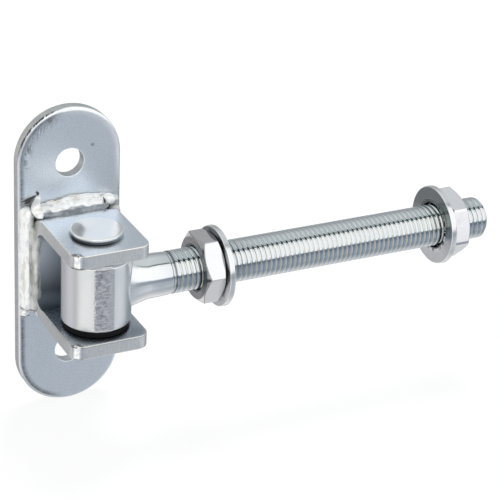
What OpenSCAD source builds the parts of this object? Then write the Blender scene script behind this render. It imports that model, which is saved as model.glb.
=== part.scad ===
// Adjustable gate hinge: welded post bracket, hinge pin, and a threaded eye bolt with two nuts and washers.
// Millimetres. The base plate's back face lies on y = 0, the bracket reaches towards -Y, the rod runs along +X.

/* [Base plate] */
// Width of the base plate
plate_w = 40; // [38:1:60]
// Height of the base plate over its round ends
plate_h = 120; // [115:1:180]
// Thickness of the base plate
plate_t = 4.5; // [3:0.5:8]
// Distance between the two fixing holes
hole_spacing = 77; // [72:1:90]
// Diameter of each fixing hole
hole_d = 11; // [6:0.5:13]
// Width of the rolled rim that blanking leaves round the front face
rim_w = 2.2; // [0.5:0.1:3]
// Depth of the rolled rim
rim_depth = 0.8; // [0.2:0.1:1.5]

/* [Bracket] */
// Width of the strip that the bracket is bent from
strip_w = 30; // [26:1:32]
// Thickness of that strip
strip_t = 5.3; // [4:0.1:7]
// Reach of the ears from the front of the base plate
ear_reach = 41.7; // [40:0.1:50]
// Radius of the ears' free corners
ear_corner_r = 4.5; // [1:0.5:10]
// Inner radius of the two bends
bend_r = 6; // [3:0.5:6]
// Height of the bracket's middle above the plate's middle
bracket_lift = 1.1; // [0:0.1:3]

/* [Pin and washers] */
// Distance of the pin from the front of the base plate
pin_reach = 26.3; // [25:0.1:30]
// Diameter of the pin's shank
pin_d = 14; // [12:0.5:16]
// Diameter of the pin's head
head_d = 19; // [18:0.5:24]
// Height of the pin's head
head_h = 2.2; // [1.5:0.1:5]
// Radius of the rounded edge on the head
head_edge_r = 1.2; // [0.5:0.1:1.4]
// Thickness of each thrust washer between eye and ear
thrust_t = 1.75; // [1:0.25:3]
// Thickness of the retaining ring
ring_t = 1; // [1:0.25:1.5]
// Depth of the ring's groove
groove_depth = 0.4; // [0.3:0.05:0.8]
// Radial width of the ring
ring_w = 2.4; // [2:0.1:3]
// Angle of the ring's opening
ring_gap_angle = 50; // [40:5:80]

/* [Eye bolt] */
// Outer diameter of the eye's barrel
barrel_d = 25.5; // [22:0.5:27]
// Height of the eye's barrel
barrel_h = 27; // [24:0.5:34]
// Chamfer on both ends of the barrel
barrel_chamfer = 0.6; // [0.2:0.1:1.5]
// Width of the flat that trimming left on the barrel's front
flat_w = 7.2; // [3:0.2:10]
// Turn of that flat about the barrel, away from the front
flat_turn = -8.7; // [-20:0.1:20]
// Diameter of the rod
rod_d = 16; // [14:1:18]
// Length from the pin's axis to the rod's free end
rod_reach = 161.6; // [155:0.1:260]
// Chamfer at the rod's free end
rod_chamfer = 1.4; // [0.5:0.1:2]
// Length from the pin's axis to the end of the neck, where the thread begins
neck_reach = 28; // [24:0.5:28]
// Diameter of the neck ahead of the thread
neck_d = 16.3; // [16:0.1:18]
// Radial growth of the neck where it runs into the barrel
neck_flare = 2.4; // [0.5:0.1:3]

/* [Nuts and washers] */
// Width of the nuts across their flats
nut_af = 24; // [22:0.5:27]
// Thickness of the nuts
nut_t = 8; // [6:0.5:13]
// Turn of the inner nut about the rod, from the front upwards
inner_nut_turn = 3.9; // [-30:0.1:30]
// Turn of the outer nut about the rod, from the front upwards
outer_nut_turn = -14.5; // [-30:0.1:30]
// Slope of the chamfer on the nuts' corners
nut_chamfer_angle = 30; // [15:1:35]
// Outer diameter of the rod's washers
washer_d = 30.5; // [28:0.5:32]
// Bore of the rod's washers
washer_bore = 18; // [16.8:0.1:18.5]
// Thickness of the rod's washers
washer_t = 2.2; // [1.5:0.1:4]
// Air left above the rod where the inner washer hangs on it
washer_air = 0.3; // [0.2:0.1:0.8]
// Distance from the pin's axis to the gate face of the inner washer
clamp_start = 48.7; // [46:0.1:70]
// Clear distance between the two washers
clamp_gap = 91.9; // [60:0.1:92]

/* [Fits] */
// Radial clearance of the pin in the barrel and of the nuts on the rod
running_clearance = 0.05; // [0.02:0.01:0.1]
// Radial clearance of the pin in the ears and in the thrust washers
pin_clearance = 0.1; // [0.05:0.05:0.3]
// Play between a nut and its washer
seat_clearance = 0.03; // [0.01:0.01:0.1]
// Distance kept between weld metal and the faces it lies on
weld_seat = 0.02; // [0:0.01:0.1]

/* [Welds] */
// Height of the top and bottom beads on the plate, measured from the ears' outer faces
bead_rise = 3.2; // [2:0.1:5]
// Bulge of a bead beyond the straight line between its toes
bead_bulge = 1.7; // [0.5:0.1:2.5]
// Height of the ripples along a bead
bead_ripple = 0.35; // [0:0.05:0.6]
// Pitch of the ripples along a bead
bead_pitch = 3.4; // [2:0.1:6]
// Width of the side beads on the plate
side_bead_w = 4.4; // [3:0.1:5]
// Lap of the side beads over the front of the web
side_bead_lap = 1.8; // [1:0.1:3]
// Thickness of the side beads in front of the web
side_bead_t = 1.3; // [0.5:0.1:2]

/* [Hidden] */

$fn = 96;
cut_extra = 1;                                   // how far a cutting shape runs past what it cuts

plate_front = -plate_t;
bend_outer_r = bend_r + strip_t;
pin_y = plate_front - pin_reach;
ear_y = plate_front - ear_reach;
eye_gap = barrel_h + 2 * (thrust_t + seat_clearance) + 2 * seat_clearance;  // clear height between the ears
ear_top = bracket_lift + eye_gap / 2 + strip_t;
ear_bottom = bracket_lift - eye_gap / 2 - strip_t;
web_front = plate_front - strip_t;
bend_y = plate_front - bend_outer_r;             // axis of both bends
bend_z = eye_gap / 2 + strip_t - bend_outer_r;   // height of a bend's axis from the bracket's middle

pin_r = pin_d / 2;
barrel_r = barrel_d / 2;
rod_r = rod_d / 2;
neck_r = neck_d / 2;
ring_clearance = 0.1;                            // axial play of the ring in its groove and under the ear
ring_top = ear_bottom - ring_clearance;
pin_tail = 2.4;                                  // shank left below the ring's groove
pin_end = ring_top - ring_t - ring_clearance - pin_tail;
pin_end_chamfer = 1;
thrust_r = barrel_r - barrel_chamfer;

inner_nut_x = clamp_start - washer_t - seat_clearance - nut_t;
inner_washer_x = clamp_start - washer_t;
outer_washer_x = clamp_start + clamp_gap;
outer_nut_x = outer_washer_x + washer_t + seat_clearance;
washer_drop = (washer_bore - rod_d) / 2 - washer_air;  // of the inner washer's middle below the rod's axis

zinc = [0.72, 0.75, 0.79];
bright_zinc = [0.82, 0.83, 0.85];
weld_grey = [0.84, 0.84, 0.82];
plastic_black = [0.06, 0.06, 0.07];

// Points of a quarter ellipse from angle a0 to a1, with half-axes a and b about a centre
function ellipse_arc(centre, a, b, a0, a1, steps) =
    [for (i = [0:steps]) let (t = a0 + (a1 - a0) * i / steps) centre + [a * cos(t), b * sin(t)]];

// Half outline of the plate's section: x across, y out of the wall, with the rolled rim at the front edge
function plate_section() = concat(
    [[0, 0], [plate_w / 2, 0]],
    ellipse_arc([plate_w / 2 - rim_w, plate_t - rim_depth], rim_w, rim_depth, 0, 90, 6),
    [[0, plate_t]]);

// Stadium plate: a straight body and two half-turned ends, all with the same section, less the fixing holes
module base_plate() {
    straight_h = plate_h - plate_w;
    color(zinc) difference() {
        union() {
            for (side = [0, 1]) mirror([side, 0, 0])
                translate([0, 0, -straight_h / 2])
                    linear_extrude(straight_h) mirror([0, 1]) polygon(plate_section());
            for (end = [0, 1]) mirror([0, 0, end])
                translate([0, 0, straight_h / 2])
                    rotate([90, 0, 0]) rotate_extrude(angle = 180) polygon(plate_section());
        }
        for (side = [-1, 1]) translate([0, cut_extra, side * hole_spacing / 2])
            rotate([90, 0, 0]) cylinder(h = plate_t + 2 * cut_extra, d = hole_d);
    }
}

// U section of the bracket in the plane x = 0: web along the plate, two bends, two ears towards -Y
module u_section() {
    half_outer = eye_gap / 2 + strip_t;
    difference() {
        union() {
            translate([bend_y, -half_outer]) square([bend_outer_r, 2 * half_outer]);
            translate([ear_y, -half_outer]) square([bend_y - ear_y, 2 * half_outer]);
        }
        translate([ear_y - cut_extra, -eye_gap / 2]) square([bend_y - ear_y + cut_extra, eye_gap]);
        for (side = [-1, 1]) {
            translate([bend_y - cut_extra, side * (bend_z / 2) - bend_z / 2])
                square([bend_r + cut_extra, bend_z]);
            intersection() {
                translate([bend_y, side * bend_z]) circle(r = bend_r);
                translate([bend_y - cut_extra, side > 0 ? bend_z : -bend_z - bend_r - cut_extra])
                    square([bend_r + 2 * cut_extra, bend_r + cut_extra]);
            }
            difference() {
                translate([bend_y, side > 0 ? bend_z : -bend_z - bend_outer_r - cut_extra])
                    square([bend_outer_r + cut_extra, bend_outer_r + cut_extra]);
                translate([bend_y, side * bend_z]) circle(r = bend_outer_r);
            }
        }
    }
}

// Plan of the strip: a straight band with two round corners at the free end of the ears
module strip_plan() {
    half = strip_w / 2;
    translate([-half, ear_y + ear_corner_r]) square([strip_w, -ear_y - ear_corner_r]);
    translate([-half + ear_corner_r, ear_y]) square([strip_w - 2 * ear_corner_r, 2 * ear_corner_r]);
    for (side = [-1, 1]) translate([side * (half - ear_corner_r), ear_y + ear_corner_r])
        circle(r = ear_corner_r);
}

module u_bracket() {
    height = ear_top - ear_bottom;
    color(zinc) difference() {
        intersection() {
            translate([-strip_w / 2, 0, bracket_lift])
                rotate([90, 0, 90]) linear_extrude(strip_w) u_section();
            translate([0, 0, ear_bottom - cut_extra]) linear_extrude(height + 2 * cut_extra) strip_plan();
        }
        translate([0, pin_y, ear_bottom - cut_extra])
            cylinder(h = height + 2 * cut_extra, r = pin_r + pin_clearance);
    }
}

// Skin of a bar whose rings of points all have the same count: side faces in pairs of triangles, and two end caps
module swept_bar(rings) {
    n = len(rings[0]);
    last = len(rings) - 1;
    polyhedron(
        points = [for (ring = rings) each ring],
        faces = concat(
            [[for (k = [0:n - 1]) k]],
            [for (i = [0:last - 1], k = [0:n - 1]) let (a = i * n + k, b = i * n + (k + 1) % n)
                each [[a, a + n, b], [b, a + n, b + n]]],
            [[for (k = [n - 1:-1:0]) last * n + k]]),
        convexity = 4);
}

// Relative height of a bead at distance s along its length: ripples, and round ends over end_run
function bead_swell(s, length, end_run) =
    let (edge = min(s, length - s), run = min(edge / end_run, 1))
    (0.45 + 0.55 * sqrt(1 - pow(1 - run, 2))) * (1 + bead_ripple / bead_bulge * 0.5 * sin(360 * s / bead_pitch));

// Curve between two toes that bulges to the left of the line from a to b
function bulge_arc(a, b, bulge, steps) =
    let (along = b - a, out = [-along[1], along[0]] / norm(along))
    [for (i = [0:steps]) let (t = i / steps) a + along * t + out * bulge * sin(180 * t)];

// Bead in the groove between plate and bend, as rings in the planes x = const, seen with y and z
module groove_bead() {
    length = strip_w - 2 * weld_seat;
    steps = 24;
    toe_angle = 52;                              // where the bead's lower toe meets the bend
    root_angle = 24;                             // where the bead's root lies in the groove
    sag = 0.006;                                 // drop of the upper toe per square millimetre from mid length
    height = eye_gap / 2 + strip_t;
    skin_r = bend_outer_r + weld_seat;
    plate_y = plate_front - weld_seat;
    function on_bend(angle) = [bend_y + skin_r * cos(angle), bend_z + skin_r * sin(angle)];
    function ring(s) =
        let (swell = bead_swell(s, length, 3),
             upper = [plate_y, height + bead_rise * swell - sag * pow(s - length / 2, 2)],
             arc = bulge_arc(upper, on_bend(toe_angle), bead_bulge * swell, 7),
             root = [for (i = [1:4]) on_bend(toe_angle + (root_angle - toe_angle) * i / 4)])
        [for (p = concat(arc, root, [[plate_y, bend_z + skin_r * sin(root_angle)]]))
            [s - length / 2, p[0], p[1]]];
    swept_bar([for (i = [0:steps]) ring(length * i / steps)]);
}

module weld_top() {
    color(weld_grey) translate([0, 0, bracket_lift]) groove_bead();
}

module weld_bottom() {
    color(weld_grey) translate([0, 0, bracket_lift]) mirror([0, 0, 1]) groove_bead();
}

// Bead along the web's edge, as rings in the planes z = const: plate, edge of the strip and lap over its front
module edge_bead() {
    edge_x = -strip_w / 2 - weld_seat;
    overrun = 1;                                 // how far each end runs past the ear's inner face
    valley_out = 0.9;                            // valley between the two runs: distance out from the edge
    valley_back = 0.4;                           // and distance behind the web's front
    first_share = 0.8;                           // bulge of the first run as a share of a whole bead's
    length = eye_gap + 2 * overrun;
    steps = 28;
    plate_y = plate_front - weld_seat;
    // inner face of the strip at height z from the bracket's middle
    function inner_y(z) = let (over = min(max(abs(z) - bend_z, 0), bend_r * 0.99))
        bend_y + sqrt(pow(bend_r, 2) - pow(over, 2)) - weld_seat;
    function ring(s) =
        let (z = s - length / 2,
             swell = bead_swell(s, length, 4),
             front = inner_y(z),
             toe = [edge_x - side_bead_w * swell, plate_y],
             valley = [edge_x - valley_out * swell, web_front + valley_back],
             lap = [edge_x + side_bead_lap * swell, front],
             first = bulge_arc(toe, valley, -bead_bulge * first_share * swell, 5),
             second = bulge_arc(valley, lap, -side_bead_t * swell, 5))
        [for (p = concat(first, [for (i = [1:5]) second[i]], [[edge_x, front], [edge_x, plate_y]]))
            [p[0], p[1], z]];
    swept_bar([for (i = [0:steps]) [for (p = ring(length * i / steps)) p]]);
}

module weld_left() {
    color(weld_grey) translate([0, 0, bracket_lift]) edge_bead();
}

module weld_right() {
    color(weld_grey) translate([0, 0, bracket_lift]) mirror([1, 0, 0]) edge_bead();
}

// Pin turned about its own axis: rounded disc head, plain shank, ring groove and chamfered end
module hinge_pin() {
    head_r = head_d / 2;
    groove_r = pin_r - groove_depth;
    groove_top = ring_top + ring_clearance / 2;
    groove_low = ring_top - ring_t - ring_clearance / 2;
    profile = concat(
        [[0, pin_end], [pin_r - pin_end_chamfer, pin_end], [pin_r, pin_end + pin_end_chamfer],
         [pin_r, groove_low], [groove_r, groove_low], [groove_r, groove_top], [pin_r, groove_top],
         [pin_r, ear_top], [head_r, ear_top]],
        ellipse_arc([head_r - head_edge_r, ear_top + head_h - head_edge_r], head_edge_r, head_edge_r, 0, 90, 6),
        [[0, ear_top + head_h]]);
    color(bright_zinc) translate([0, pin_y, 0]) rotate_extrude() polygon(profile);
}

// Open spring ring with an eye at each end of its gap, lying in the pin's groove
module retaining_ring() {
    inner_r = pin_r - groove_depth + running_clearance;
    outer_r = inner_r + ring_w;
    lug_r = ring_w * 0.62;
    lug_hole_r = 0.7;
    lug_set_back = 8;                            // angle from the ring's open end to its lug
    lug_angle = ring_gap_angle / 2 + lug_set_back;
    color(bright_zinc) translate([0, pin_y, ring_top - ring_t]) linear_extrude(ring_t) difference() {
        union() {
            circle(r = outer_r);
            for (side = [-1, 1]) rotate(90 + side * lug_angle) translate([outer_r - lug_r * 0.6, 0])
                circle(r = lug_r);
        }
        circle(r = inner_r);
        polygon([[0, 0], for (side = [1, -1])
            2 * outer_r * [cos(90 + side * ring_gap_angle / 2), sin(90 + side * ring_gap_angle / 2)]]);
        for (side = [-1, 1]) rotate(90 + side * lug_angle) translate([outer_r - lug_r * 0.5, 0])
            circle(r = lug_hole_r);
    }
}

// Flat plastic washer with slightly rounded rims, its lower face at z = 0
module thrust_washer() {
    rim = 0.3;                                   // chamfer of the outer rims
    color(plastic_black) rotate_extrude() polygon([
        [pin_r + pin_clearance, 0], [thrust_r - rim, 0], [thrust_r, rim],
        [thrust_r, thrust_t - rim], [thrust_r - rim, thrust_t], [pin_r + pin_clearance, thrust_t]]);
}

module upper_thrust_washer() {
    translate([0, pin_y, bracket_lift + eye_gap / 2 - seat_clearance - thrust_t]) thrust_washer();
}

module lower_thrust_washer() {
    translate([0, pin_y, bracket_lift - eye_gap / 2 + seat_clearance]) thrust_washer();
}

// Barrel, neck and rod forged as one, the thread kept as a plain cylinder of its outer diameter
module eye_bolt() {
    flare_run = 6;                               // length over which the flare runs out into the neck
    buried_share = 0.6;                          // the neck starts this far out inside the barrel
    flare_end = barrel_r + flare_run;
    flare_start = barrel_r * buried_share;
    flare_steps = 8;
    slope_run = 0.6;                             // run of the slope at the neck's end, beyond its drop
    shoulder = neck_r - rod_r + slope_run;
    half_h = barrel_h / 2;
    flat_reach = sqrt(pow(barrel_r, 2) - pow(flat_w / 2, 2));  // from the barrel's axis to its flat
    flare = [for (i = [0:flare_steps]) let (t = i / flare_steps)
        [neck_r + neck_flare * pow(1 - t, 2), flare_start + (flare_end - flare_start) * t]];
    color(bright_zinc) translate([0, pin_y, bracket_lift]) difference() {
        union() {
            rotate_extrude() polygon([
                [0, -half_h], [barrel_r - barrel_chamfer, -half_h], [barrel_r, -half_h + barrel_chamfer],
                [barrel_r, half_h - barrel_chamfer], [barrel_r - barrel_chamfer, half_h], [0, half_h]]);
            rotate([0, 90, 0]) rotate_extrude() polygon(concat(
                [[0, flare_start]], flare,
                [[neck_r, neck_reach - shoulder], [rod_r, neck_reach], [0, neck_reach]]));
            translate([neck_reach, 0, 0]) rotate([0, 90, 0])
                cylinder(h = rod_reach - neck_reach - rod_chamfer, r = rod_r);
            translate([rod_reach - rod_chamfer, 0, 0]) rotate([0, 90, 0])
                cylinder(h = rod_chamfer, r1 = rod_r, r2 = rod_r - rod_chamfer);
        }
        translate([0, 0, -half_h - cut_extra])
            cylinder(h = barrel_h + 2 * cut_extra, r = pin_r + running_clearance);
        rotate(flat_turn) translate([-barrel_r, -barrel_d - flat_reach, -barrel_h])
            cube([barrel_d, barrel_d, 2 * barrel_h]);
    }
}

// Thin hexagon nut chamfered on both faces, its near face at the origin and its bore along +X
module hex_nut(about_rod) {
    corner_r = nut_af / sqrt(3);
    face_share = 0.97;                           // round face as a share of the width across flats
    face_r = nut_af / 2 * face_share;
    chamfer_h = (corner_r - face_r) * tan(nut_chamfer_angle);
    bore_r = rod_r + running_clearance;
    countersink = 0.7;                           // depth of the countersink at both ends of the bore
    color(bright_zinc) rotate([-about_rod, 0, 0]) rotate([0, 90, 0]) difference() {
        intersection() {
            rotate(30) cylinder(h = nut_t, r = corner_r, $fn = 6);
            rotate_extrude() polygon([
                [0, 0], [face_r, 0], [corner_r, chamfer_h], [corner_r, nut_t - chamfer_h],
                [face_r, nut_t], [0, nut_t]]);
        }
        translate([0, 0, -cut_extra]) cylinder(h = nut_t + 2 * cut_extra, r = bore_r);
        for (end = [0, 1]) translate([0, 0, end * nut_t]) mirror([0, 0, end])
            translate([0, 0, -cut_extra]) cylinder(
                h = cut_extra + countersink, r1 = bore_r + countersink + cut_extra, r2 = bore_r);
    }
}

module inner_nut() {
    translate([inner_nut_x, pin_y, bracket_lift]) hex_nut(inner_nut_turn);
}

module outer_nut() {
    translate([outer_nut_x, pin_y, bracket_lift]) hex_nut(outer_nut_turn);
}

// Plain washer with small rim chamfers, its near face at the origin and its bore along +X
module rod_washer() {
    rim = 0.3;                                   // chamfer of the outer rims
    outer_r = washer_d / 2;
    bore_r = washer_bore / 2;
    color(zinc) rotate([0, 90, 0]) rotate_extrude() polygon([
        [bore_r, 0], [outer_r - rim, 0], [outer_r, rim],
        [outer_r, washer_t - rim], [outer_r - rim, washer_t], [bore_r, washer_t]]);
}

module inner_washer() {
    translate([inner_washer_x, pin_y, bracket_lift - washer_drop]) rod_washer();
}

module outer_washer() {
    translate([outer_washer_x, pin_y, bracket_lift]) rod_washer();
}

base_plate();
u_bracket();
weld_top();
weld_bottom();
weld_left();
weld_right();
hinge_pin();
retaining_ring();
upper_thrust_washer();
lower_thrust_washer();
eye_bolt();
inner_nut();
inner_washer();
outer_washer();
outer_nut();
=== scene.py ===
# Adjustable gate hinge: zinc-plated post bracket with its weld beads, hinge pin, and a forged and threaded
# eye bolt
import itertools

import bmesh
import bpy
import numpy as np
from mathutils import Matrix, Vector


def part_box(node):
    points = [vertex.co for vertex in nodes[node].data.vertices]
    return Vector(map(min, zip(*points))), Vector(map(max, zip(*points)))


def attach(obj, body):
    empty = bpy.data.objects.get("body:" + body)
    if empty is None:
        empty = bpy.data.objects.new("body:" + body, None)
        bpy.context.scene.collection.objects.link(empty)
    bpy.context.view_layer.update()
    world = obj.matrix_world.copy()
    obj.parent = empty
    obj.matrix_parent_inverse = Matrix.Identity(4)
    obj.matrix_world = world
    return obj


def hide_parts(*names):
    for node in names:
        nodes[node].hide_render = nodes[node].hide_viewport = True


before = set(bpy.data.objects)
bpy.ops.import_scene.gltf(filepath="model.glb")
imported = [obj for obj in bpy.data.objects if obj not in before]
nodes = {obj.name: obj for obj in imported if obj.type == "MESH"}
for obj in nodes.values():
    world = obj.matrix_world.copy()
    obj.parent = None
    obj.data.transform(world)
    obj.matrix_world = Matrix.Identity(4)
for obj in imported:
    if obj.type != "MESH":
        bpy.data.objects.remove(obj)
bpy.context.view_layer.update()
mm = 0.001  # shapes below are worked out in millimetres; the meshes are in metres
turn = 2 * np.pi
stripThick = 5.3  # mm, of the bracket's strip


def boxMm(node):
    low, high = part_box(node)
    return np.array(low) / mm, np.array(high) / mm


plateLow, plateHigh = boxMm("base_plate")
bracketLow, bracketHigh = boxMm("u_bracket")
pinLow, pinHigh = boxMm("hinge_pin")
boltLow, boltHigh = boxMm("eye_bolt")
plateFront = plateLow[1]
pinY = (pinLow[1] + pinHigh[1]) / 2
rodZ = (boltLow[2] + boltHigh[2]) / 2  # height of the rod's axis and of the bracket's middle


# Shape tools

noiseTable = np.random.default_rng(11).random((32, 32, 32))


def lumps(points, size, seed=0):
    # Smooth noise from -1 to 1: lattice values every size mm, blended with the weight 3t^2 - 2t^3 along each
    # axis
    q = np.asarray(points) / size + seed * np.array([7.3, 3.1, 5.7])
    cell = np.floor(q).astype(int)
    t = q - cell
    t = t * t * (3 - 2 * t)
    total = 0
    for corner in itertools.product((0, 1), repeat=3):
        weight = np.prod(np.where(np.array(corner) == 1, t, 1 - t), axis=-1)
        i, j, k = np.moveaxis((cell + np.array(corner)) % 32, -1, 0)
        total = total + weight * noiseTable[i, j, k]
    return 2 * total - 1


def smooth(value, low, high):
    # 0 below low, 1 above high, 3t^2 - 2t^3 between
    t = np.clip((np.asarray(value, float) - low) / (high - low), 0, 1)
    return t * t * (3 - 2 * t)


def roundedRows(corners, radii, steps=3, hold=0.35):
    # A profile with its corners rounded: each corner is cut back by its radius along both legs and the cuts
    # are joined
    # by a quadratic curve. A row is added just outside each curve, so that the faces beside it stay flat.
    corners = np.asarray(corners, float)
    rows, edge = [corners[0]], [0]
    for k, radius in enumerate(radii, start=1):
        here = corners[k]
        if radius == 0:
            rows.append(here)
            edge.append(0)
            continue
        back, ahead = corners[k - 1] - here, corners[k + 1] - here
        backLength = np.linalg.norm(back, axis=-1, keepdims=True)
        aheadLength = np.linalg.norm(ahead, axis=-1, keepdims=True)
        cut = np.minimum(radius, 0.4 * np.minimum(backLength, aheadLength))
        back, ahead = back / backLength, ahead / aheadLength
        t = np.linspace(0, 1, steps + 1).reshape((-1,) + (1,) * here.ndim)
        curve = (1 - t) ** 2 * (here + back * cut) + 2 * t * (1 - t) * here + t ** 2 * (here + ahead * cut)
        rows += [here + back * cut * (1 + hold), *curve, here + ahead * cut * (1 + hold)]
        edge += [0] + [1] * (steps + 1) + [0]
    rows.append(corners[-1])
    edge.append(0)
    return np.stack(rows), np.array(edge, float)


def catmull(points, perSpan, closed=False):
    # Smooth curve through control points: between b and c it is the cubic with slopes (c - a) / 2 and (d - b)
    # / 2
    p = np.asarray(points, float)
    if closed:
        p = np.concatenate([p[-1:], p, p[:2]])
    else:
        p = np.concatenate([2 * p[:1] - p[1:2], p, 2 * p[-1:] - p[-2:-1]])
    a, b, c, d = p[:-3, None], p[1:-2, None], p[2:-1, None], p[3:, None]
    t = (np.arange(perSpan) / perSpan).reshape((1, -1) + (1,) * (p.ndim - 1))
    curve = 0.5 * (2 * b + (c - a) * t + (2 * a - 5 * b + 4 * c - d) * t ** 2 + (3 * b - a - 3 * c + d)
                   * t ** 3)
    curve = curve.reshape((-1,) + p.shape[1:])
    return curve if closed else np.concatenate([curve, p[-2:-1]])


def carry(profile, place):
    # Rows of a profile, each put in place by place(row), which gives one ring or line of points
    return np.stack([place(row) for row in profile])


# worked faces (on the welds: painted shade and dark streaks), edges (painted highlight; a dark line on the
# nuts), crevices (painted shade), and grain (below 0 where polished)
maskNames = ("mark", "edge", "dark", "satin")


def between(start, end, count=9):
    # Straight lines of count points from one row of points to another
    t = np.linspace(0, 1, count)[:, None, None]
    return start * (1 - t) + end * t


def addObject(name, data):
    thing = bpy.data.objects.new(name, data)
    bpy.context.scene.collection.objects.link(thing)
    return thing


def patch(points, **masks):
    # A grid of rows x columns x 3 points, with masks for the materials: one value, one a row or one a point
    part = {"points": points}
    for label in maskNames:
        mask = np.asarray(masks.get(label, 0), float)
        part[label] = np.broadcast_to(mask[:, None] if mask.ndim == 1 else mask, points.shape[:2])
    return part


def makePiece(name, patches, body, replaced, material):
    # Joins grids into one closed mesh: equal points are merged, collapsed faces fall away, faces are turned
    # outwards
    points, faces, count = [], [], 0
    for part in patches:
        rows, columns = part["points"].shape[:2]
        index = count + np.arange(rows * columns).reshape(rows, columns)
        quads = np.stack([index[:-1, :-1], index[1:, :-1], index[1:, 1:], index[:-1, 1:]], axis=-1)
        points.append(part["points"].reshape(-1, 3))
        faces.append(quads.reshape(-1, 4))
        count += rows * columns
    mesh = bpy.data.meshes.new(name)
    mesh.from_pydata(np.concatenate(points) * mm, [], np.concatenate(faces))
    for label in maskNames:
        layer = mesh.attributes.new(label, "FLOAT", "POINT")
        values = np.concatenate([part[label].ravel() for part in patches])
        layer.data.foreach_set("value", values.astype(np.float32))
    merged = bmesh.new()
    merged.from_mesh(mesh)
    bmesh.ops.remove_doubles(merged, verts=merged.verts, dist=0.003 * mm)
    bmesh.ops.recalc_face_normals(merged, faces=merged.faces)
    merged.to_mesh(mesh)
    merged.free()
    mesh.polygons.foreach_set("use_smooth", np.ones(len(mesh.polygons), bool))
    mesh.materials.append(material)
    piece = addObject(name, mesh)
    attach(piece, body)
    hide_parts(*replaced)
    print(name, len(mesh.polygons), "faces")
    return piece


# Material tools

def addNode(tree, kind, inputs=None, **settings):
    # Adds a shader node. Each input is a value, or the output socket of another node.
    node = tree.nodes.new("ShaderNode" + kind)
    for key, value in settings.items():
        setattr(node, key, value)
    for key, value in (inputs or {}).items():
        if isinstance(value, bpy.types.NodeSocket):
            tree.links.new(value, node.inputs[key])
        else:
            node.inputs[key].default_value = value
    return node


def mixColour(tree, factor, first, second, blend="MIX"):
    node = addNode(tree, "Mix", {0: factor, 6: first, 7: second}, data_type="RGBA", blend_type=blend)
    return node.outputs[2]


def ramp(tree, value, fromLow, fromHigh, toLow=0.0, toHigh=1.0):
    inputs = {"Value": value, "From Min": fromLow, "From Max": fromHigh, "To Min": toLow, "To Max": toHigh}
    return addNode(tree, "MapRange", inputs, interpolation_type="SMOOTHSTEP").outputs[0]


def compute(tree, operation, first, second=0.0, third=0.0):
    return addNode(tree, "Math", {0: first, 1: second, 2: third}, operation=operation).outputs[0]


def product(tree, result, *factors):
    for factor in factors:
        result = compute(tree, "MULTIPLY", result, factor)
    return result


def attribute(tree, label):
    return addNode(tree, "Attribute", attribute_name=label).outputs["Fac"]


def placeNode(tree, scale=(1, 1, 1), rotation=(0, 0, 0), location=(0, 0, 0)):
    # Object coordinates in millimetres, turned and stretched
    coordinates = addNode(tree, "TexCoord").outputs["Object"]
    inMm = addNode(tree, "VectorMath", {0: coordinates, "Scale": 1 / mm}, operation="SCALE").outputs[0]
    inputs = {"Vector": inMm, "Location": location, "Rotation": rotation, "Scale": scale}
    return addNode(tree, "Mapping", inputs).outputs[0]


def noise(tree, vector, scale, detail=2.0, roughness=0.5, distortion=0.0):
    inputs = {"Vector": vector, "Scale": scale, "Detail": detail, "Roughness": roughness,
              "Distortion": distortion}
    return addNode(tree, "TexNoise", inputs).outputs[0]


def newGroup(name, inputs, outputs):
    # A shader node group with named sockets; returns the group, its input node and its output node
    group = bpy.data.node_groups.new(name, "ShaderNodeTree")
    for direction, sockets in (("INPUT", inputs), ("OUTPUT", outputs)):
        for label, kind, value in sockets:
            socket = group.interface.new_socket(label, in_out=direction, socket_type="NodeSocket" + kind)
            if value is not None:
                socket.default_value = value
    return group, group.nodes.new("NodeGroupInput"), group.nodes.new("NodeGroupOutput")


def fillGroup(tree, group, inputs):
    return addNode(tree, "Group", inputs, node_tree=group)


def newMaterial(name):
    # Returns a material with its node tree and its shader
    material = bpy.data.materials.new(name)
    material.use_nodes = True
    return material, material.node_tree, material.node_tree.nodes["Principled BSDF"]


def addBump(tree, shader, strength, depth, height):
    bump = addNode(tree, "Bump", {"Strength": strength, "Distance": depth * mm, "Height": height})
    tree.links.new(bump.outputs["Normal"], shader.inputs["Normal"])


def makeBloomGroup():
    # Cloudy passivation: the zinc's colour drifts towards a cool and a rosy tint over a few millimetres
    inputs = [("Vector", "Vector", None), ("Colour", "Color", (0.5, 0.5, 0.5, 1)),
              ("Cool", "Color", (0.4, 0.5, 0.6, 1)),
              ("Rosy", "Color", (0.6, 0.5, 0.6, 1)), ("Size", "Float", 14.0), ("Amount", "Float", 0.4)]
    group, source, target = newGroup("zincBloom", inputs, [("Colour", "Color", None),
                                                           ("Mask", "Float", None)])
    scale = compute(group, "DIVIDE", 1.0, source.outputs["Size"])
    coolCloud = ramp(group, noise(group, source.outputs["Vector"], scale, 3.0, 0.55, 0.4), 0.42, 0.7)
    shifted = addNode(group, "VectorMath", {0: source.outputs["Vector"], 1: (31, 17, 5)}).outputs[0]
    rosyCloud = ramp(group, noise(group, shifted, scale, 3.0, 0.6, 0.6), 0.5, 0.75)
    coolAmount = product(group, coolCloud, source.outputs["Amount"])
    rosyAmount = product(group, rosyCloud, source.outputs["Amount"])
    colour = mixColour(group, coolAmount, source.outputs["Colour"], source.outputs["Cool"])
    colour = mixColour(group, rosyAmount, colour, source.outputs["Rosy"])
    group.links.new(colour, target.inputs["Colour"])
    group.links.new(coolCloud, target.inputs["Mask"])
    return group


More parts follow.
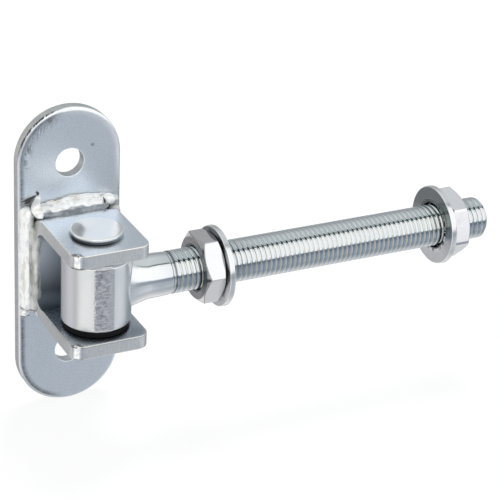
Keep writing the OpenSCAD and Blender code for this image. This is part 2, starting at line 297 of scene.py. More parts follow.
def makeGrainGroup():
    # Plated steel's surface: a fine pebbled grain, short brush lines along the vector's stretch and sparse
    # pits
    inputs = [("Vector", "Vector", None), ("Brushed", "Vector", None), ("Grain", "Float", 3.0),
              ("Grain Amount", "Float", 0.4), ("Brush Amount", "Float", 0.4), ("Pit Amount", "Float", 0.3)]
    group, source, target = newGroup("platedGrain", inputs, [("Height", "Float", None),
                                                             ("Pits", "Float", None),
                                                             ("Brush", "Float", None)])
    grain = noise(group, source.outputs["Vector"], source.outputs["Grain"], 3.0, 0.6)
    brush = noise(group, source.outputs["Brushed"], 1.0, 4.0, 0.65)
    cell = addNode(group, "TexVoronoi", {"Vector": source.outputs["Vector"], "Scale": 0.45,
                                         "Randomness": 1.0})
    pits = ramp(group, cell.outputs["Distance"], 0.05, 0.16, 1.0, 0.0)
    height = product(group, grain, source.outputs["Grain Amount"])
    height = compute(group, "MULTIPLY_ADD", brush, source.outputs["Brush Amount"], height)
    pitDepth = product(group, pits, source.outputs["Pit Amount"])
    height = compute(group, "SUBTRACT", height, pitDepth)
    group.links.new(height, target.inputs["Height"])
    group.links.new(pitDepth, target.inputs["Pits"])
    group.links.new(brush, target.inputs["Brush"])
    return group


def makeShadeGroup():
    # Painted shadow round a pin or barrel on a level face: full within Inner of the Centre, gone at Outer, on
    # one height only
    inputs = [("Vector", "Vector", None), ("Centre", "Vector", None), ("Height", "Float", 0.0),
              ("Inner", "Float", 10.0), ("Outer", "Float", 12.0)]
    group, source, target = newGroup("ringShade", inputs, [("Mask", "Float", None)])
    away = addNode(group, "VectorMath", {0: source.outputs["Vector"], 1: source.outputs["Centre"]},
                   operation="SUBTRACT").outputs[0]
    parts = addNode(group, "SeparateXYZ", {0: away})
    level = addNode(group, "CombineXYZ", {0: parts.outputs[0], 1: parts.outputs[1]})
    distance = addNode(group, "VectorMath", {0: level.outputs[0]}, operation="LENGTH").outputs["Value"]
    ring = ramp(group, distance, source.outputs["Inner"], source.outputs["Outer"], 1.0, 0.0)
    above = compute(group, "ABSOLUTE", compute(group, "SUBTRACT", parts.outputs[2], source.outputs["Height"]))
    mask = product(group, ring, ramp(group, above, 0.4, 0.9, 1.0, 0.0))
    group.links.new(mask, target.inputs["Mask"])
    return group


def makeRimGroup():
    # Wear and painted highlight along the outline of a stadium plate. With q = (x, what |z| exceeds the
    # straight half by), the distance in from the outline is the half width less the length of q.
    inputs = [("Vector", "Vector", None), ("Half Width", "Float", 20.0), ("Straight", "Float", 40.0)]
    group, source, target = newGroup("rimWearAndHighlight", inputs, [("Light", "Float", None), ("Dark", "Float", None)])
    parts = addNode(group, "SeparateXYZ", {0: source.outputs["Vector"]})
    x, y, z = parts.outputs
    over = compute(group, "MAXIMUM", compute(group, "SUBTRACT", compute(group, "ABSOLUTE", z),
                                             source.outputs["Straight"]), 0.0)
    reach = addNode(group, "VectorMath", {0: addNode(group, "CombineXYZ", {0: x, 1: over}).outputs[0]},
                    operation="LENGTH").outputs["Value"]
    inward = compute(group, "SUBTRACT", source.outputs["Half Width"], reach)
    # Strokes run square to the outline: noise that changes quickly round the plate and slowly across its rim
    around = product(group, compute(group, "ARCTAN2", over, x), source.outputs["Half Width"])
    along = compute(group, "ADD", around, z)
    strokes = noise(group, addNode(group, "CombineXYZ", {0: along,
                                                         1: product(group, inward, 0.25)}).outputs[0],
                    1.1, 4.0, 0.75)
    left = ramp(group, x, -1.0, -9.0)
    upper = ramp(group, z, 30.0, 46.0)
    front = ramp(group, y, -3.2, -3.7)
    # Dark: scrapes near the top, burrs at the ends and a darker streaky line 1 to 3 mm in, all at the left
    line = product(group, ramp(group, inward, 0.8, 1.1), ramp(group, inward, 1.2, 3.2, 1.0, 0.0))
    line = product(group, line, ramp(group, strokes, 0.3, 0.7, 0.4, 0.85))
    scratched = product(group, ramp(group, inward, 0.9, 1.4), ramp(group, inward, 1.8, 6.0, 1.0, 0.0))
    scratched = product(group, scratched, upper, ramp(group, strokes, 0.42, 0.60))
    burr = product(group, ramp(group, inward, 0.45, 0.15), ramp(group, strokes, 0.40, 0.52))
    ends = compute(group, "MAXIMUM", ramp(group, z, 41.0, 48.0), ramp(group, z, -44.0, -50.0, 0.0, 0.6))
    dark = compute(group, "MAXIMUM", product(group, scratched, 0.8), product(group, burr, ends))
    dark = compute(group, "MAXIMUM", dark, line)
    group.links.new(product(group, dark, left, front), target.inputs["Dark"])
    # Light: painted highlight, a soft band along the rolled rim at the top right and a thin line just inside
    # the left rim
    band = product(group, ramp(group, inward, 0.1, 0.6), ramp(group, inward, 1.2, 3.6, 1.0, 0.0))
    band = product(group, band, front, ramp(group, z, 20.0, 40.0))
    band = product(group, band, ramp(group, x, -12.0, 4.0))
    bright = product(group, ramp(group, inward, 0.25, 0.4), ramp(group, inward, 0.7, 0.9, 1.0, 0.0))
    bright = product(group, bright, left, ramp(group, y, -3.9, -4.1))
    group.links.new(compute(group, "MAXIMUM", band, bright), target.inputs["Light"])
    return group


bloomGroup = makeBloomGroup()
grainGroup = makeGrainGroup()
shadeGroup = makeShadeGroup()
rimGroup = makeRimGroup()


def metal(name, finish, overlay=None):
    # A plated metal: bloom and grain groups, and masks for worked faces, edges in a painted highlight,
    # crevices in painted shade and grainy skin read
    # from the piece's attributes. overlay(tree, place, colour) may change the colour last.
    material, tree, shader = newMaterial(name)
    place = placeNode(tree)
    brushed = placeNode(tree, scale=finish["brushStretch"], rotation=finish.get("brushTurn", (0, 0, 0)))
    mark = attribute(tree, "mark")
    edge = attribute(tree, "edge")
    dark = attribute(tree, "dark")
    satin = attribute(tree, "satin")
    bloom = fillGroup(tree, bloomGroup, {"Vector": place, "Colour": finish["colour"], "Cool": finish["cool"],
                                         "Rosy": finish["rosy"], "Size": finish["bloomSize"],
                                         "Amount": finish["bloomAmount"]})
    grain = fillGroup(tree, grainGroup, {"Vector": place, "Brushed": brushed, "Grain": finish["grain"],
                                         "Grain Amount": finish["grainAmount"],
                                         "Brush Amount": finish["brushAmount"],
                                         "Pit Amount": finish["pitAmount"]})
    streak = noise(tree, placeNode(tree, scale=finish["markStretch"]), 1.0, 5.0, 0.7)
    markColour = mixColour(tree, ramp(tree, streak, 0.35, 0.65), finish["markDark"], finish["markColour"])
    colour = mixColour(tree, mark, bloom.outputs["Colour"], markColour)
    # Painted highlight on rounded edges and thread grooves (a dark brown line on the nuts' edges)
    colour = mixColour(tree, product(tree, edge, finish["edgeAmount"]), colour, finish["edgeColour"])
    colour = mixColour(tree, product(tree, grain.outputs["Pits"], finish["pitDark"]), colour,
                       (0.12, 0.13, 0.14, 1))
    # Painted shade in crevices, bores, grooves and under parts
    colour = mixColour(tree, dark, colour, finish["creviceShade"])
    if overlay:
        colour = overlay(tree, place, colour)
    tree.links.new(colour, shader.inputs["Base Color"])
    rough = compute(tree, "MULTIPLY_ADD", bloom.outputs["Mask"], finish["roughDrift"], finish["rough"])
    rough = compute(tree, "MULTIPLY_ADD", mark, finish["markRough"] - finish["rough"], rough)
    rough = compute(tree, "MULTIPLY_ADD", compute(tree, "SUBTRACT", grain.outputs["Brush"], 0.5), 0.12, rough)
    rough = compute(tree, "MULTIPLY_ADD", satin, finish["satinRough"], rough)
    tree.links.new(rough, shader.inputs["Roughness"])
    height = compute(tree, "MULTIPLY_ADD", product(tree, streak, mark), finish["markHeight"],
                     grain.outputs["Height"])
    height = compute(tree, "MULTIPLY_ADD", product(tree, grain.outputs["Height"], satin),
                     finish["satinHeight"], height)
    addBump(tree, shader, finish["bump"], 0.05, height)
    shader.inputs["Metallic"].default_value = finish["metallic"]
    return material


satinZinc = {
    "colour": (0.75, 0.79, 0.83, 1), "cool": (0.64, 0.72, 0.79, 1), "rosy": (0.82, 0.83, 0.86, 1),
    "bloomSize": 24.0, "bloomAmount": 0.5, "rough": 0.3, "roughDrift": 0.06, "metallic": 1.0,
    "grain": 2.2, "grainAmount": 0.5, "brushStretch": (0.25, 1, 2.2), "brushAmount": 0.4, "pitAmount": 0.4,
    "pitDark": 0.5, "bump": 0.35, "markStretch": (0.5, 0.25, 0.5), "markColour": (0.64, 0.64, 0.62, 1),
    "markDark": (0.52, 0.53, 0.52, 1), "markRough": 0.42, "markHeight": 0.5, "edgeAmount": 0.7,
    "edgeColour": (0.93, 0.94, 0.95, 1), "creviceShade": (0.035, 0.045, 0.055, 1), "satinRough": 0.0,
    "satinHeight": 0.0,
}
stripZinc = {**satinZinc, "colour": (0.70, 0.75, 0.82, 1), "creviceShade": (0.05, 0.07, 0.095, 1), "rough": 0.27,
             "grainAmount": 0.12, "brushAmount": 0.12,
             "satinRough": 0.22, "markColour": (0.74, 0.75, 0.74, 1),
             "markDark": (0.64, 0.65, 0.65, 1), "edgeColour": (0.90, 0.86, 0.78, 1),
             "markStretch": (1.3, 1.3, 0.35)}
brightZinc = {
    "colour": (0.76, 0.77, 0.78, 1), "cool": (0.68, 0.73, 0.76, 1), "rosy": (0.80, 0.78, 0.80, 1),
    "bloomSize": 9.0, "bloomAmount": 0.35, "rough": 0.14, "roughDrift": 0.05, "metallic": 1.0,
    "grain": 2.5, "grainAmount": 0.35, "brushStretch": (2.5, 2.5, 0.5), "brushAmount": 0.3, "pitAmount": 0.2,
    "pitDark": 0.3, "bump": 0.25, "markStretch": (0.6, 0.6, 1.4), "markColour": (0.72, 0.72, 0.75, 1),
    "markDark": (0.34, 0.34, 0.37, 1), "markRough": 0.34, "markHeight": 3.5, "edgeAmount": 0.9,
    "edgeColour": (1.0, 0.97, 0.90, 1), "creviceShade": (0.05, 0.055, 0.06, 1), "satinRough": 0.16,
    "satinHeight": 2.0,
}
nutZinc = {**brightZinc, "colour": (0.76, 0.75, 0.76, 1), "rough": 0.1, "markColour": (0.50, 0.49, 0.50, 1),
           "markDark": (0.42, 0.41, 0.42, 1), "markRough": 0.28, "markHeight": 0.3, "bump": 0.15,
           "edgeColour": (0.34, 0.32, 0.30, 1), "edgeAmount": 0.75, "creviceShade": (0.06, 0.085, 0.09, 1),
           "markStretch": (0.4, 0.4, 0.4)}
washerZinc = {**brightZinc, "colour": (0.72, 0.73, 0.74, 1), "rough": 0.2,
              "markColour": (0.95, 0.95, 0.94, 1),
              "markDark": (0.86, 0.88, 0.89, 1), "markRough": 0.2, "markHeight": 0.1,
              "markStretch": (0.2, 0.2, 0.2),
              "grainAmount": 0.1, "edgeColour": (0.90, 0.87, 0.84, 1)}


def plateWearAndHighlight(tree, place, colour):
    # Rolled rim with a painted highlight at the top right and along the left, scraped and burred at the left;
    # one small pit beside the upper hole
    rim = fillGroup(tree, rimGroup, {"Vector": place, "Half Width": float(plateHigh[0]),
                                     "Straight": float(plateHigh[2] - plateHigh[0])})
    brushed = noise(tree, placeNode(tree, scale=(0.7, 1, 1.4)), 2.2, 4.0, 0.8)
    colour = mixColour(tree, ramp(tree, brushed, 0.44, 0.66, 0.0, 0.40), colour, (1.0, 1.0, 1.0, 1))
    colour = mixColour(tree, ramp(tree, brushed, 0.52, 0.32, 0.0, 0.50), colour, (0.50, 0.56, 0.61, 1))
    # Painted highlight along the rolled rim
    colour = mixColour(tree, product(tree, rim.outputs["Light"], 0.7), colour, (0.97, 0.97, 0.97, 1))
    colour = mixColour(tree, rim.outputs["Dark"], colour, (0.07, 0.065, 0.06, 1))
    gap = addNode(tree, "VectorMath", {0: place, 1: (8.8, plateFront, 44.3)},
                  operation="DISTANCE").outputs["Value"]
    return mixColour(tree, ramp(tree, gap, 0.35, 0.9, 0.55, 0.0), colour, (0.1, 0.1, 0.1, 1))


def stripWearAndShade(tree, place, colour):
    # Painted shadows: dark rings under the pin's head and round the barrel's foot. Pale blotchy corners with
    # a scorched outline
    for centre, height, inner, outer, share in (((-0.5, pinY - 0.4, 0), bracketHigh[2], 9.0, 10.2, 0.8),
                                                ((0, pinY, 0), bracketLow[2] + stripThick, 12.4, 13.0, 0.5),
                                                ((0, pinY, 0), bracketLow[2] + stripThick, 14.0, 26.0, 0.3)):
        ring = fillGroup(tree, shadeGroup, {"Vector": place, "Centre": (centre[0], centre[1], 0),
                                            "Height": float(height), "Inner": inner, "Outer": outer})
        colour = mixColour(tree, product(tree, ring.outputs["Mask"], share), colour, (0.04, 0.06, 0.08, 1))
    parts = addNode(tree, "SeparateXYZ", {0: place})
    corner = addNode(tree, "CombineXYZ", {0: parts.outputs[0], 1: parts.outputs[1]}).outputs[0]
    gap = addNode(tree, "VectorMath", {0: corner, 1: (float(bracketLow[0]) + 1.3, float(bracketLow[1]) + 0.7,
                                                      0)},
                  operation="DISTANCE").outputs["Value"]
    blotch = noise(tree, place, 0.75, 3.0, 0.6)
    bare = product(tree, ramp(tree, gap, 0.9, 2.4, 0.9, 0.0), ramp(tree, blotch, 0.45, 0.56))
    colour = mixColour(tree, bare, colour, (0.95, 0.93, 0.90, 1))
    # Both ears are as thick, so the depth within an ear is the height above its lower face, on either side of
    # the middle
    height = compute(tree, "ABSOLUTE", compute(tree, "SUBTRACT", parts.outputs[2], float(rodZ)))
    depth = compute(tree, "SUBTRACT", float(bracketHigh[2] - rodZ), height)
    lines = compute(tree, "MAXIMUM", ramp(tree, depth, 0.45, 0.2), ramp(tree, depth, 4.3, 4.9))
    scorch = product(tree, lines, ramp(tree, gap, 1.9, 3.6, 0.8, 0.0))
    return mixColour(tree, product(tree, scorch, ramp(tree, blotch, 0.60, 0.46)), colour,
                     (0.10, 0.08, 0.07, 1))


flatTurn = np.radians(-8.7)  # of the flat down the barrel's front, about the pin
flatNormal = (float(np.sin(flatTurn)), -float(np.cos(flatTurn)), 0)
flatSide = (float(np.cos(flatTurn)), float(np.sin(flatTurn)), 0)


def boltWearAndShade(tree, place, colour):
    # The thread and the neck are plated a little bluer than the barrel. Bright chips line the flat's left
    # edge.
    parts = addNode(tree, "SeparateXYZ", {0: place})
    along = parts.outputs[0]
    beside = addNode(tree, "VectorMath", {0: place, 1: flatSide}, operation="DOT_PRODUCT").outputs["Value"]
    front = addNode(tree, "VectorMath", {0: place, 1: flatNormal}, operation="DOT_PRODUCT").outputs["Value"]
    wander = compute(tree, "MULTIPLY_ADD", noise(tree, place, 0.7, 4.0, 0.7), 2.4,
                     compute(tree, "SUBTRACT", beside, 2.3))
    chips = product(tree, ramp(tree, compute(tree, "ABSOLUTE", wander), 0.15, 0.5, 1.0, 0.0),
                    ramp(tree, front, 41.0, 41.6))
    chips = product(tree, chips, ramp(tree, noise(tree, place, 1.3, 2.0, 0.5), 0.42, 0.56))
    colour = mixColour(tree, chips, colour, (1.0, 0.97, 0.88, 1))
    colour = mixColour(tree, ramp(tree, along, 18.0, 28.0, 0.0, 1.0), colour, (0.85, 0.87, 0.88, 1),
                       "MULTIPLY")
    # Painted shade: the crests darker and bluer and the grooves darker on the rod's lower half, the crests
    # darker near the top, and the grooves black along one line there
    groove = attribute(tree, "edge")
    onThread = ramp(tree, along, 28.0, 29.0)
    height = compute(tree, "SUBTRACT", parts.outputs[2], float(rodZ))
    under = product(tree, ramp(tree, height, 2.3, 1.8), ramp(tree, height, -7.4, -2.0, 0.15, 1.0))
    crest = product(tree, compute(tree, "SUBTRACT", 1.0, groove), onThread)
    colour = mixColour(tree, product(tree, under, crest), colour, (0.56, 0.63, 0.71, 1), "MULTIPLY")
    lines = product(tree, under, groove, onThread)
    colour = mixColour(tree, lines, colour, (0.72, 0.70, 0.66, 1), "MULTIPLY")
    over = product(tree, ramp(tree, height, 6.2, 6.8), crest)
    colour = mixColour(tree, over, colour, (0.84, 0.88, 0.90, 1), "MULTIPLY")
    paintedShade = ramp(tree, compute(tree, "ABSOLUTE", compute(tree, "SUBTRACT", height, 6.25)), 0.2, 0.55, 1.0, 0.0)
    paintedShade = product(tree, paintedShade, ramp(tree, groove, 0.0, 0.25), onThread)
    return mixColour(tree, paintedShade, colour, (0.025, 0.045, 0.04, 1))


def washerShade(tree, place, colour):
    # Painted shade: the faces clouded darker towards the top; the black close to the rod is painted shade
    # from the dark mask
    mark = attribute(tree, "mark")
    height = addNode(tree, "SeparateXYZ", {0: place}).outputs[2]
    cloud = compute(tree, "MULTIPLY_ADD", noise(tree, place, 0.25, 3.0, 0.6), 8.0,
                    compute(tree, "SUBTRACT", height, 4.0))
    shade = product(tree, ramp(tree, cloud, -9.0, 9.0), 0.85)
    return mixColour(tree, product(tree, shade, mark), colour, (0.16, 0.19, 0.19, 1))


plateMetal = metal("satinZincPlate", satinZinc, plateWearAndHighlight)
stripMetal = metal("satinZincStrip", stripZinc, stripWearAndShade)
boltMetal = metal("brightZincForging", brightZinc, boltWearAndShade)
nutMetal = metal("brightZincNut", nutZinc)
washerMetal = metal("zincWasher", washerZinc, washerShade)


weldSkin = {
    "white": (0.96, 0.96, 0.95, 1), "grey": (0.70, 0.71, 0.71, 1), "warm": (0.72, 0.68, 0.62, 1),
    "deepDark": (0.045, 0.04, 0.038, 1), "lumpStretch": (0.5, 1, 1), "lumpScale": 0.36,
    "streakStretch": (0.2, 0.5, 0.5),
    "metallic": 0.4, "shade": (0.30, 0.33, 0.35, 1), "rough": (0.34, 0.46), "bump": 0.3,
}


def weldMaterial(skin):
    # Plated weld metal: white, clouded with broad grey lumps and warm streaks; the mark paints grey shade
    # and, at its highest, near black for deep painted shade and thin dark streaks
    material, tree, shader = newMaterial("platedWeld")
    place = placeNode(tree)
    mark = attribute(tree, "mark")
    lump = noise(tree, placeNode(tree, scale=skin["lumpStretch"]), skin["lumpScale"], 3.0, 0.5, 0.4)
    streak = noise(tree, placeNode(tree, scale=skin["streakStretch"], location=(3, 8, 1)), 1.0, 2.5, 0.5, 0.5)
    speck = noise(tree, place, 1.6, 2.0, 0.5)
    colour = mixColour(tree, ramp(tree, lump, 0.48, 0.66), skin["white"], skin["grey"])
    colour = mixColour(tree, ramp(tree, streak, 0.54, 0.66, 0.0, 0.7), colour, skin["warm"])
    shade = product(tree, ramp(tree, mark, 0.0, 0.55), ramp(tree, streak, 0.40, 0.60, 0.55, 0.9))
    colour = mixColour(tree, shade, colour, skin["shade"])
    deepDark = ramp(tree, mark, 0.7, 0.95)
    tree.links.new(mixColour(tree, deepDark, colour, skin["deepDark"]), shader.inputs["Base Color"])
    tree.links.new(ramp(tree, lump, 0.3, 0.7, *skin["rough"]), shader.inputs["Roughness"])
    height = compute(tree, "MULTIPLY_ADD", speck, 0.2, lump)
    addBump(tree, shader, skin["bump"], 0.5, height)
    shader.inputs["Metallic"].default_value = skin["metallic"]
    return material


def nylonMaterial():
    # Black moulded plastic with a faint pebbled skin and turned rings
    material, tree, shader = newMaterial("blackNylon")
    shader.inputs["Specular IOR Level"].default_value = 0.08
    place = placeNode(tree)
    skin = noise(tree, place, 2.0, 4.0, 0.6)
    tree.links.new(mixColour(tree, skin, (0.003, 0.003, 0.004, 1), (0.010, 0.010, 0.012, 1)),
                   shader.inputs["Base Color"])
    tree.links.new(ramp(tree, skin, 0.3, 0.7, 0.38, 0.55), shader.inputs["Roughness"])
    addBump(tree, shader, 0.3, 0.05, skin)
    return material


weldMetal = weldMaterial(weldSkin)
sideWeldMetal = weldMaterial({**weldSkin, "lumpStretch": (1, 1, 0.45), "streakStretch": (0.5, 0.5, 0.16),
                              "shade": (0.29, 0.30, 0.27, 1)})
nylon = nylonMaterial()
print("materials made")


# Base plate

plateShape = {
    "rimWidth": 1.1,        # blanking rolls the front edge over this width
    "rimDepth": 0.5,
    "rimSpread": 0.9,       # how much wider the roll is at the top right
    "backBreak": 0.3,       # rounding of the back edge
    "holeSpacing": 77.0,
    "holeRadius": 5.5,
    "holeBreak": 0.4,
    "sideSteps": 26,        # along each straight half side
    "arcSteps": 72,         # round each end
    "cutSteps": 30,         # across the middle, where the two halves meet
}


def stadium(inset, shape):
    # Upper half of the plate's outline, from +X over the round end to -X, moved inwards by inset
    halfWidth, halfHeight = plateHigh[0], plateHigh[2]
    straight = halfHeight - halfWidth
    z = np.linspace(0, straight, shape["sideSteps"] + 1)
    angle = np.linspace(0, np.pi, shape["arcSteps"] + 1)[1:-1]
    radius = halfWidth - inset
    x = np.concatenate([np.full(z.shape, radius), radius * np.cos(angle), np.full(z.shape, -radius)])
    return x, np.concatenate([z, straight + radius * np.sin(angle), z[::-1]])


def makePlate(shape):
    thick = -plateFront
    angle = np.linspace(0, np.pi / 2, 11)
    roll = np.stack([shape["rimWidth"] * (1 - np.cos(angle)),
                     thick - shape["rimDepth"] * (1 - np.sin(angle))], axis=-1)
    corners = np.array([[1.2, 0], [0, 0], roll[0]])
    wall, wallEdge = roundedRows(corners, [shape["backBreak"]])
    profile = np.concatenate([wall, roll[1:]])
    rowMark = np.concatenate([(wall[:, 0] < 0.02) & (wall[:, 1] > 0.1),
                              np.zeros(len(roll) - 1)]).astype(float)
    # Painted highlight on the rolled rim
    rowEdge = np.concatenate([0 * wallEdge, [0.6, 1, 0.5], np.zeros(len(roll) - 4)])
    patches = []
    for side in (1, -1):
        outX, outZ = stadium(0, shape)
        spread = 1 + shape["rimSpread"] * (side > 0) * smooth(outZ, 10, 45) * smooth(outX, -16, 0)

        def rim(row):
            x, z = stadium(row[0], shape)
            x, z = outX + (x - outX) * spread, outZ + (z - outZ) * spread
            deep = np.where(row[1] > thick - shape["rimDepth"] - 0.01, spread, 1)
            return np.stack([side * x, (thick - row[1]) * deep - thick, side * z], axis=-1)

        patches.append(patch(carry(profile, rim), mark=rowMark, edge=rowEdge))
        # Faces: straight lines from the hole's rim to the outline, on the front and on the back
        holeZ = shape["holeSpacing"] / 2
        frontX, _, frontZ = (rim(profile[-1]) * side).T
        cut = np.linspace(-frontX[0], frontX[0], shape["cutSteps"] + 1)[1:]
        contourX, contourZ = np.concatenate([frontX, cut]), np.concatenate([frontZ, 0 * cut])
        holeAngle = np.arctan2(contourZ - holeZ, contourX)
        holeCos, holeSin = np.cos(holeAngle), np.sin(holeAngle)
        r, b = shape["holeRadius"], shape["holeBreak"]
        boreRows, boreEdge = roundedRows([[r + 2 * b, thick], [r, thick], [r, 0], [r + 2 * b, 0]], [b, b])

        def ring(row):
            return np.stack([side * row[0] * holeCos, np.full(holeCos.shape, -row[1]),
                             side * (holeZ + row[0] * holeSin)], axis=-1)

        bore = carry(boreRows, ring)
        # Bore wall: worked, with painted shade, and a painted highlight on its rounded edges
        boreMark = ((boreRows[:, 0] < r + 0.02) * 0.6).astype(float)
        patches.append(patch(bore, mark=boreMark, edge=boreEdge, dark=0.4 * boreMark))
        backX, backZ = stadium(corners[0][0], shape)
        backCut = np.linspace(-backX[0], backX[0], shape["cutSteps"] + 1)[1:]
        for start, outX, outZ, y in ((bore[0], contourX, contourZ, -thick),
                                     (bore[-1], np.concatenate([backX, backCut]),
                                      np.concatenate([backZ, 0 * backCut]), 0.0)):
            outline = np.stack([side * outX, np.full(outX.shape, y), side * outZ], axis=-1)
            patches.append(patch(between(start, outline)))
    makePiece("plate", patches, "post_bracket", ["base_plate"], plateMetal)


makePlate(plateShape)


# U bracket

bracketShape = {
    "thickness": stripThick,
    "bendRadius": 6.0,      # inner radius of both bends
    "cornerRadius": 4.5,    # free corners of the ears
    "arris": 0.35,          # rounding of the strip's sheared edges
    "inset": 1.0,           # width of the band beside each edge that follows the outline
    "pinHoleRadius": 7.1,
    "holeBreak": 0.3,
    "bendBulge": 0.35,      # how far the strip's inner side spreads sideways in a bend
    "acrossSteps": 24,
    "bendSteps": 20,
    "webSteps": 8,
    "earSteps": 22,
    "cornerSteps": 12,
}


def makeBracket(shape):
    half, thick, inset = bracketHigh[0], shape["thickness"], shape["inset"]
    outerBend = shape["bendRadius"] + thick
    bendY = plateFront - outerBend
    earY, corner = bracketLow[1], shape["cornerRadius"]
    halfHeight = (bracketHigh[2] - bracketLow[2]) / 2
    bendZ = halfHeight - outerBend
    # Edge profile: distance in from the outline, and depth below the strip's outer face
    edgeRows, edgeMask = roundedRows([[inset, 0], [0, 0], [0, thick], [inset, thick]], [shape["arris"]] * 2)
    sheared = (edgeRows[:, 0] < 0.01).astype(float)
    patches = []

    def earOutline(d):
        # From the bend along +X, round the two free corners and back to the bend on -X
        y = np.linspace(bendY, earY + corner, shape["earSteps"] + 1)
        a = np.linspace(0, np.pi / 2, shape["cornerSteps"] + 1)[1:]
        r, c = corner - d, half - corner
        front = np.linspace(c, -c, shape["acrossSteps"] + 1)[1:-1]
        x = np.concatenate([np.full(y.shape, half - d), c + r * np.cos(a), front, -(c + r * np.cos(a))[::-1],
                            np.full(y.shape, d - half)])
        bowl = earY + corner - r * np.sin(a)
        return x, np.concatenate([y, bowl, np.full(front.shape, earY + d), bowl[::-1], y[::-1]])

    for side in (1, -1):
        def earRow(row):
            x, y = earOutline(row[0])
            return np.stack([x, y, np.full(x.shape, rodZ + side * (halfHeight - row[1]))], axis=-1)

        ear = carry(edgeRows, earRow)
        corner3 = np.exp(-(((ear[..., 0] + half - 1.6) / 2.4) ** 2 + ((ear[..., 1] - earY - 1.0) / 2.2) ** 2))
        # edge: painted highlight along the rounded sheared edges
        patches.append(patch(ear, mark=sheared[:, None] * (1 - 0.8 * corner3),
                             edge=edgeMask[:, None] * np.ones(corner3.shape), satin=-corner3))
        x, y = earOutline(inset)
        across = np.linspace(-half + inset, half - inset, shape["acrossSteps"] + 1)[1:]
        x, y = np.concatenate([x, across]), np.concatenate([y, np.full(across.shape, bendY)])
        angle = np.arctan2(y - pinY, x)
        r, b = shape["pinHoleRadius"], shape["holeBreak"]
        boreRows, boreEdge = roundedRows([[r + 2 * b, 0], [r, 0], [r, thick], [r + 2 * b, thick]], [b, b])

        def ring(row):
            return np.stack([row[0] * np.cos(angle), pinY + row[0] * np.sin(angle),
                             np.full(angle.shape, rodZ + side * (halfHeight - row[1]))], axis=-1)

        bore = carry(boreRows, ring)
        patches.append(patch(bore, edge=boreEdge))
        for start, depth in ((bore[0], 0.0), (bore[-1], thick)):
            outline = np.stack([x, y, np.full(x.shape, rodZ + side * (halfHeight - depth))], axis=-1)
            # Painted shade on the lower ear's upper face
            patches.append(patch(between(start, outline), dark=0.15 * (side < 0) * (depth > 0)))
    # Bends and web: the strip's section carried round an arc, down the web and round the second arc
    flat = np.linspace(-half + inset, half - inset, shape["acrossSteps"] + 1)
    right = edgeRows * [-1, 1] + [half, 0]
    left = (edgeRows - [half, 0])[::-1]
    section = np.concatenate([np.stack([flat[:-1], 0 * flat[:-1]], axis=-1), right[:-1],
                              np.stack([flat[::-1][:-1], np.full(len(flat) - 1, thick)], axis=-1), left])
    sectionMark = np.concatenate([np.zeros(len(flat) - 1), sheared[:-1], np.zeros(len(flat) - 1),
                                  sheared[::-1]])
    sectionEdge = np.concatenate([np.zeros(len(flat) - 1), edgeMask[:-1], np.zeros(len(flat) - 1),
                                  edgeMask[::-1]])
    stations = []
    for a in np.linspace(np.pi / 2, 0, shape["bendSteps"] + 1):
        stations.append((a, bendZ))
    for z in np.linspace(bendZ, -bendZ, shape["webSteps"] + 1)[1:-1]:
        stations.append((0.0, z))
    for a in np.linspace(0, -np.pi / 2, shape["bendSteps"] + 1):
        stations.append((a, -bendZ))

    def slice(station):
        a, z = station
        radius = outerBend - section[:, 1]
        spread = 1 + shape["bendBulge"] / half * section[:, 1] / thick * np.sin(2 * abs(a))
        return np.stack([section[:, 0] * spread, bendY + radius * np.cos(a), rodZ + z + radius * np.sin(a)],
                        axis=-1)

    count = len(stations)
    inside = smooth(section[:, 1], thick - 0.3, thick)
    # Painted shade on the strip's inner side, deepening towards the lower bend
    patches.append(patch(carry(stations, slice), mark=np.tile(sectionMark, (count, 1)),
                         edge=np.tile(sectionEdge, (count, 1)),
                         dark=np.outer(0.05 + 0.8 * smooth(np.linspace(0, 1, count), 0.42, 0.66), inside),
                         satin=np.tile(inside, (count, 1))))
    makePiece("bracket", patches, "post_bracket", ["u_bracket"], stripMetal)


makeBracket(bracketShape)
print("plate and bracket made")


# Weld beads

def fadeEnds(count, length, run):
    # Size of a bead along its length: a quarter circle of the given run at each end
    s = np.linspace(0, length, count)
    t = np.clip(np.minimum(s, length - s) / run, 0, 1)
    return s, np.sqrt(1 - (1 - t) ** 2)


def closeRing(rings):
    return np.concatenate([rings, rings[:, :1]], axis=1)


def outwards(rings):
    # Unit directions from each ring's middle to its points
    out = rings - rings.mean(axis=1, keepdims=True)
    return out / np.maximum(np.linalg.norm(out, axis=-1, keepdims=True), 1e-6)


def roughen(rings, coarse, fine, seed):
    # Pushes a bead's points away from each ring's middle by coarse lumps of 2.4 mm and fine ones of 0.8 mm
    swell = coarse * lumps(rings, 2.4, seed) + fine * lumps(rings, 0.8, seed + 3)
    return rings + outwards(rings) * swell[..., None]


def smoothRings(rings, perSpan):
    return np.moveaxis(catmull(np.moveaxis(rings, 1, 0), perSpan, closed=True), 0, 1)


def ripple(rings, phase, size, shape, seed):
    # Ripples across a bead, then its lumps
    wave = shape["ripple"] * np.sin(phase) * size[:, None]
    return roughen(rings + outwards(rings) * wave[..., None], shape["coarse"], shape["fine"], seed)


topBead = {
    "samples": 150,
    "halfLength": 15.2,
    "endRun": 2.2,          # length over which each end swells
    # Stations along x, with the height of the bead's upper toe above the ear's top and the crest's reach at
    # each
    "stations": [-15.2, -12.5, -9.6, -5.7, 0.1, 6.0, 12.0, 15.0],
    "toeHeight": [1.6, 2.2, 2.5, 2.8, 3.4, 3.3, 2.7, 2.2],
    "crestReach": [3.6, 4.0, 4.3, 4.4, 4.4, 4.3, 4.0, 3.4],
    "ripplePitch": 2.1,
    "ripple": 0.09,
    "coarse": 0.3,
    "fine": 0.06,
}


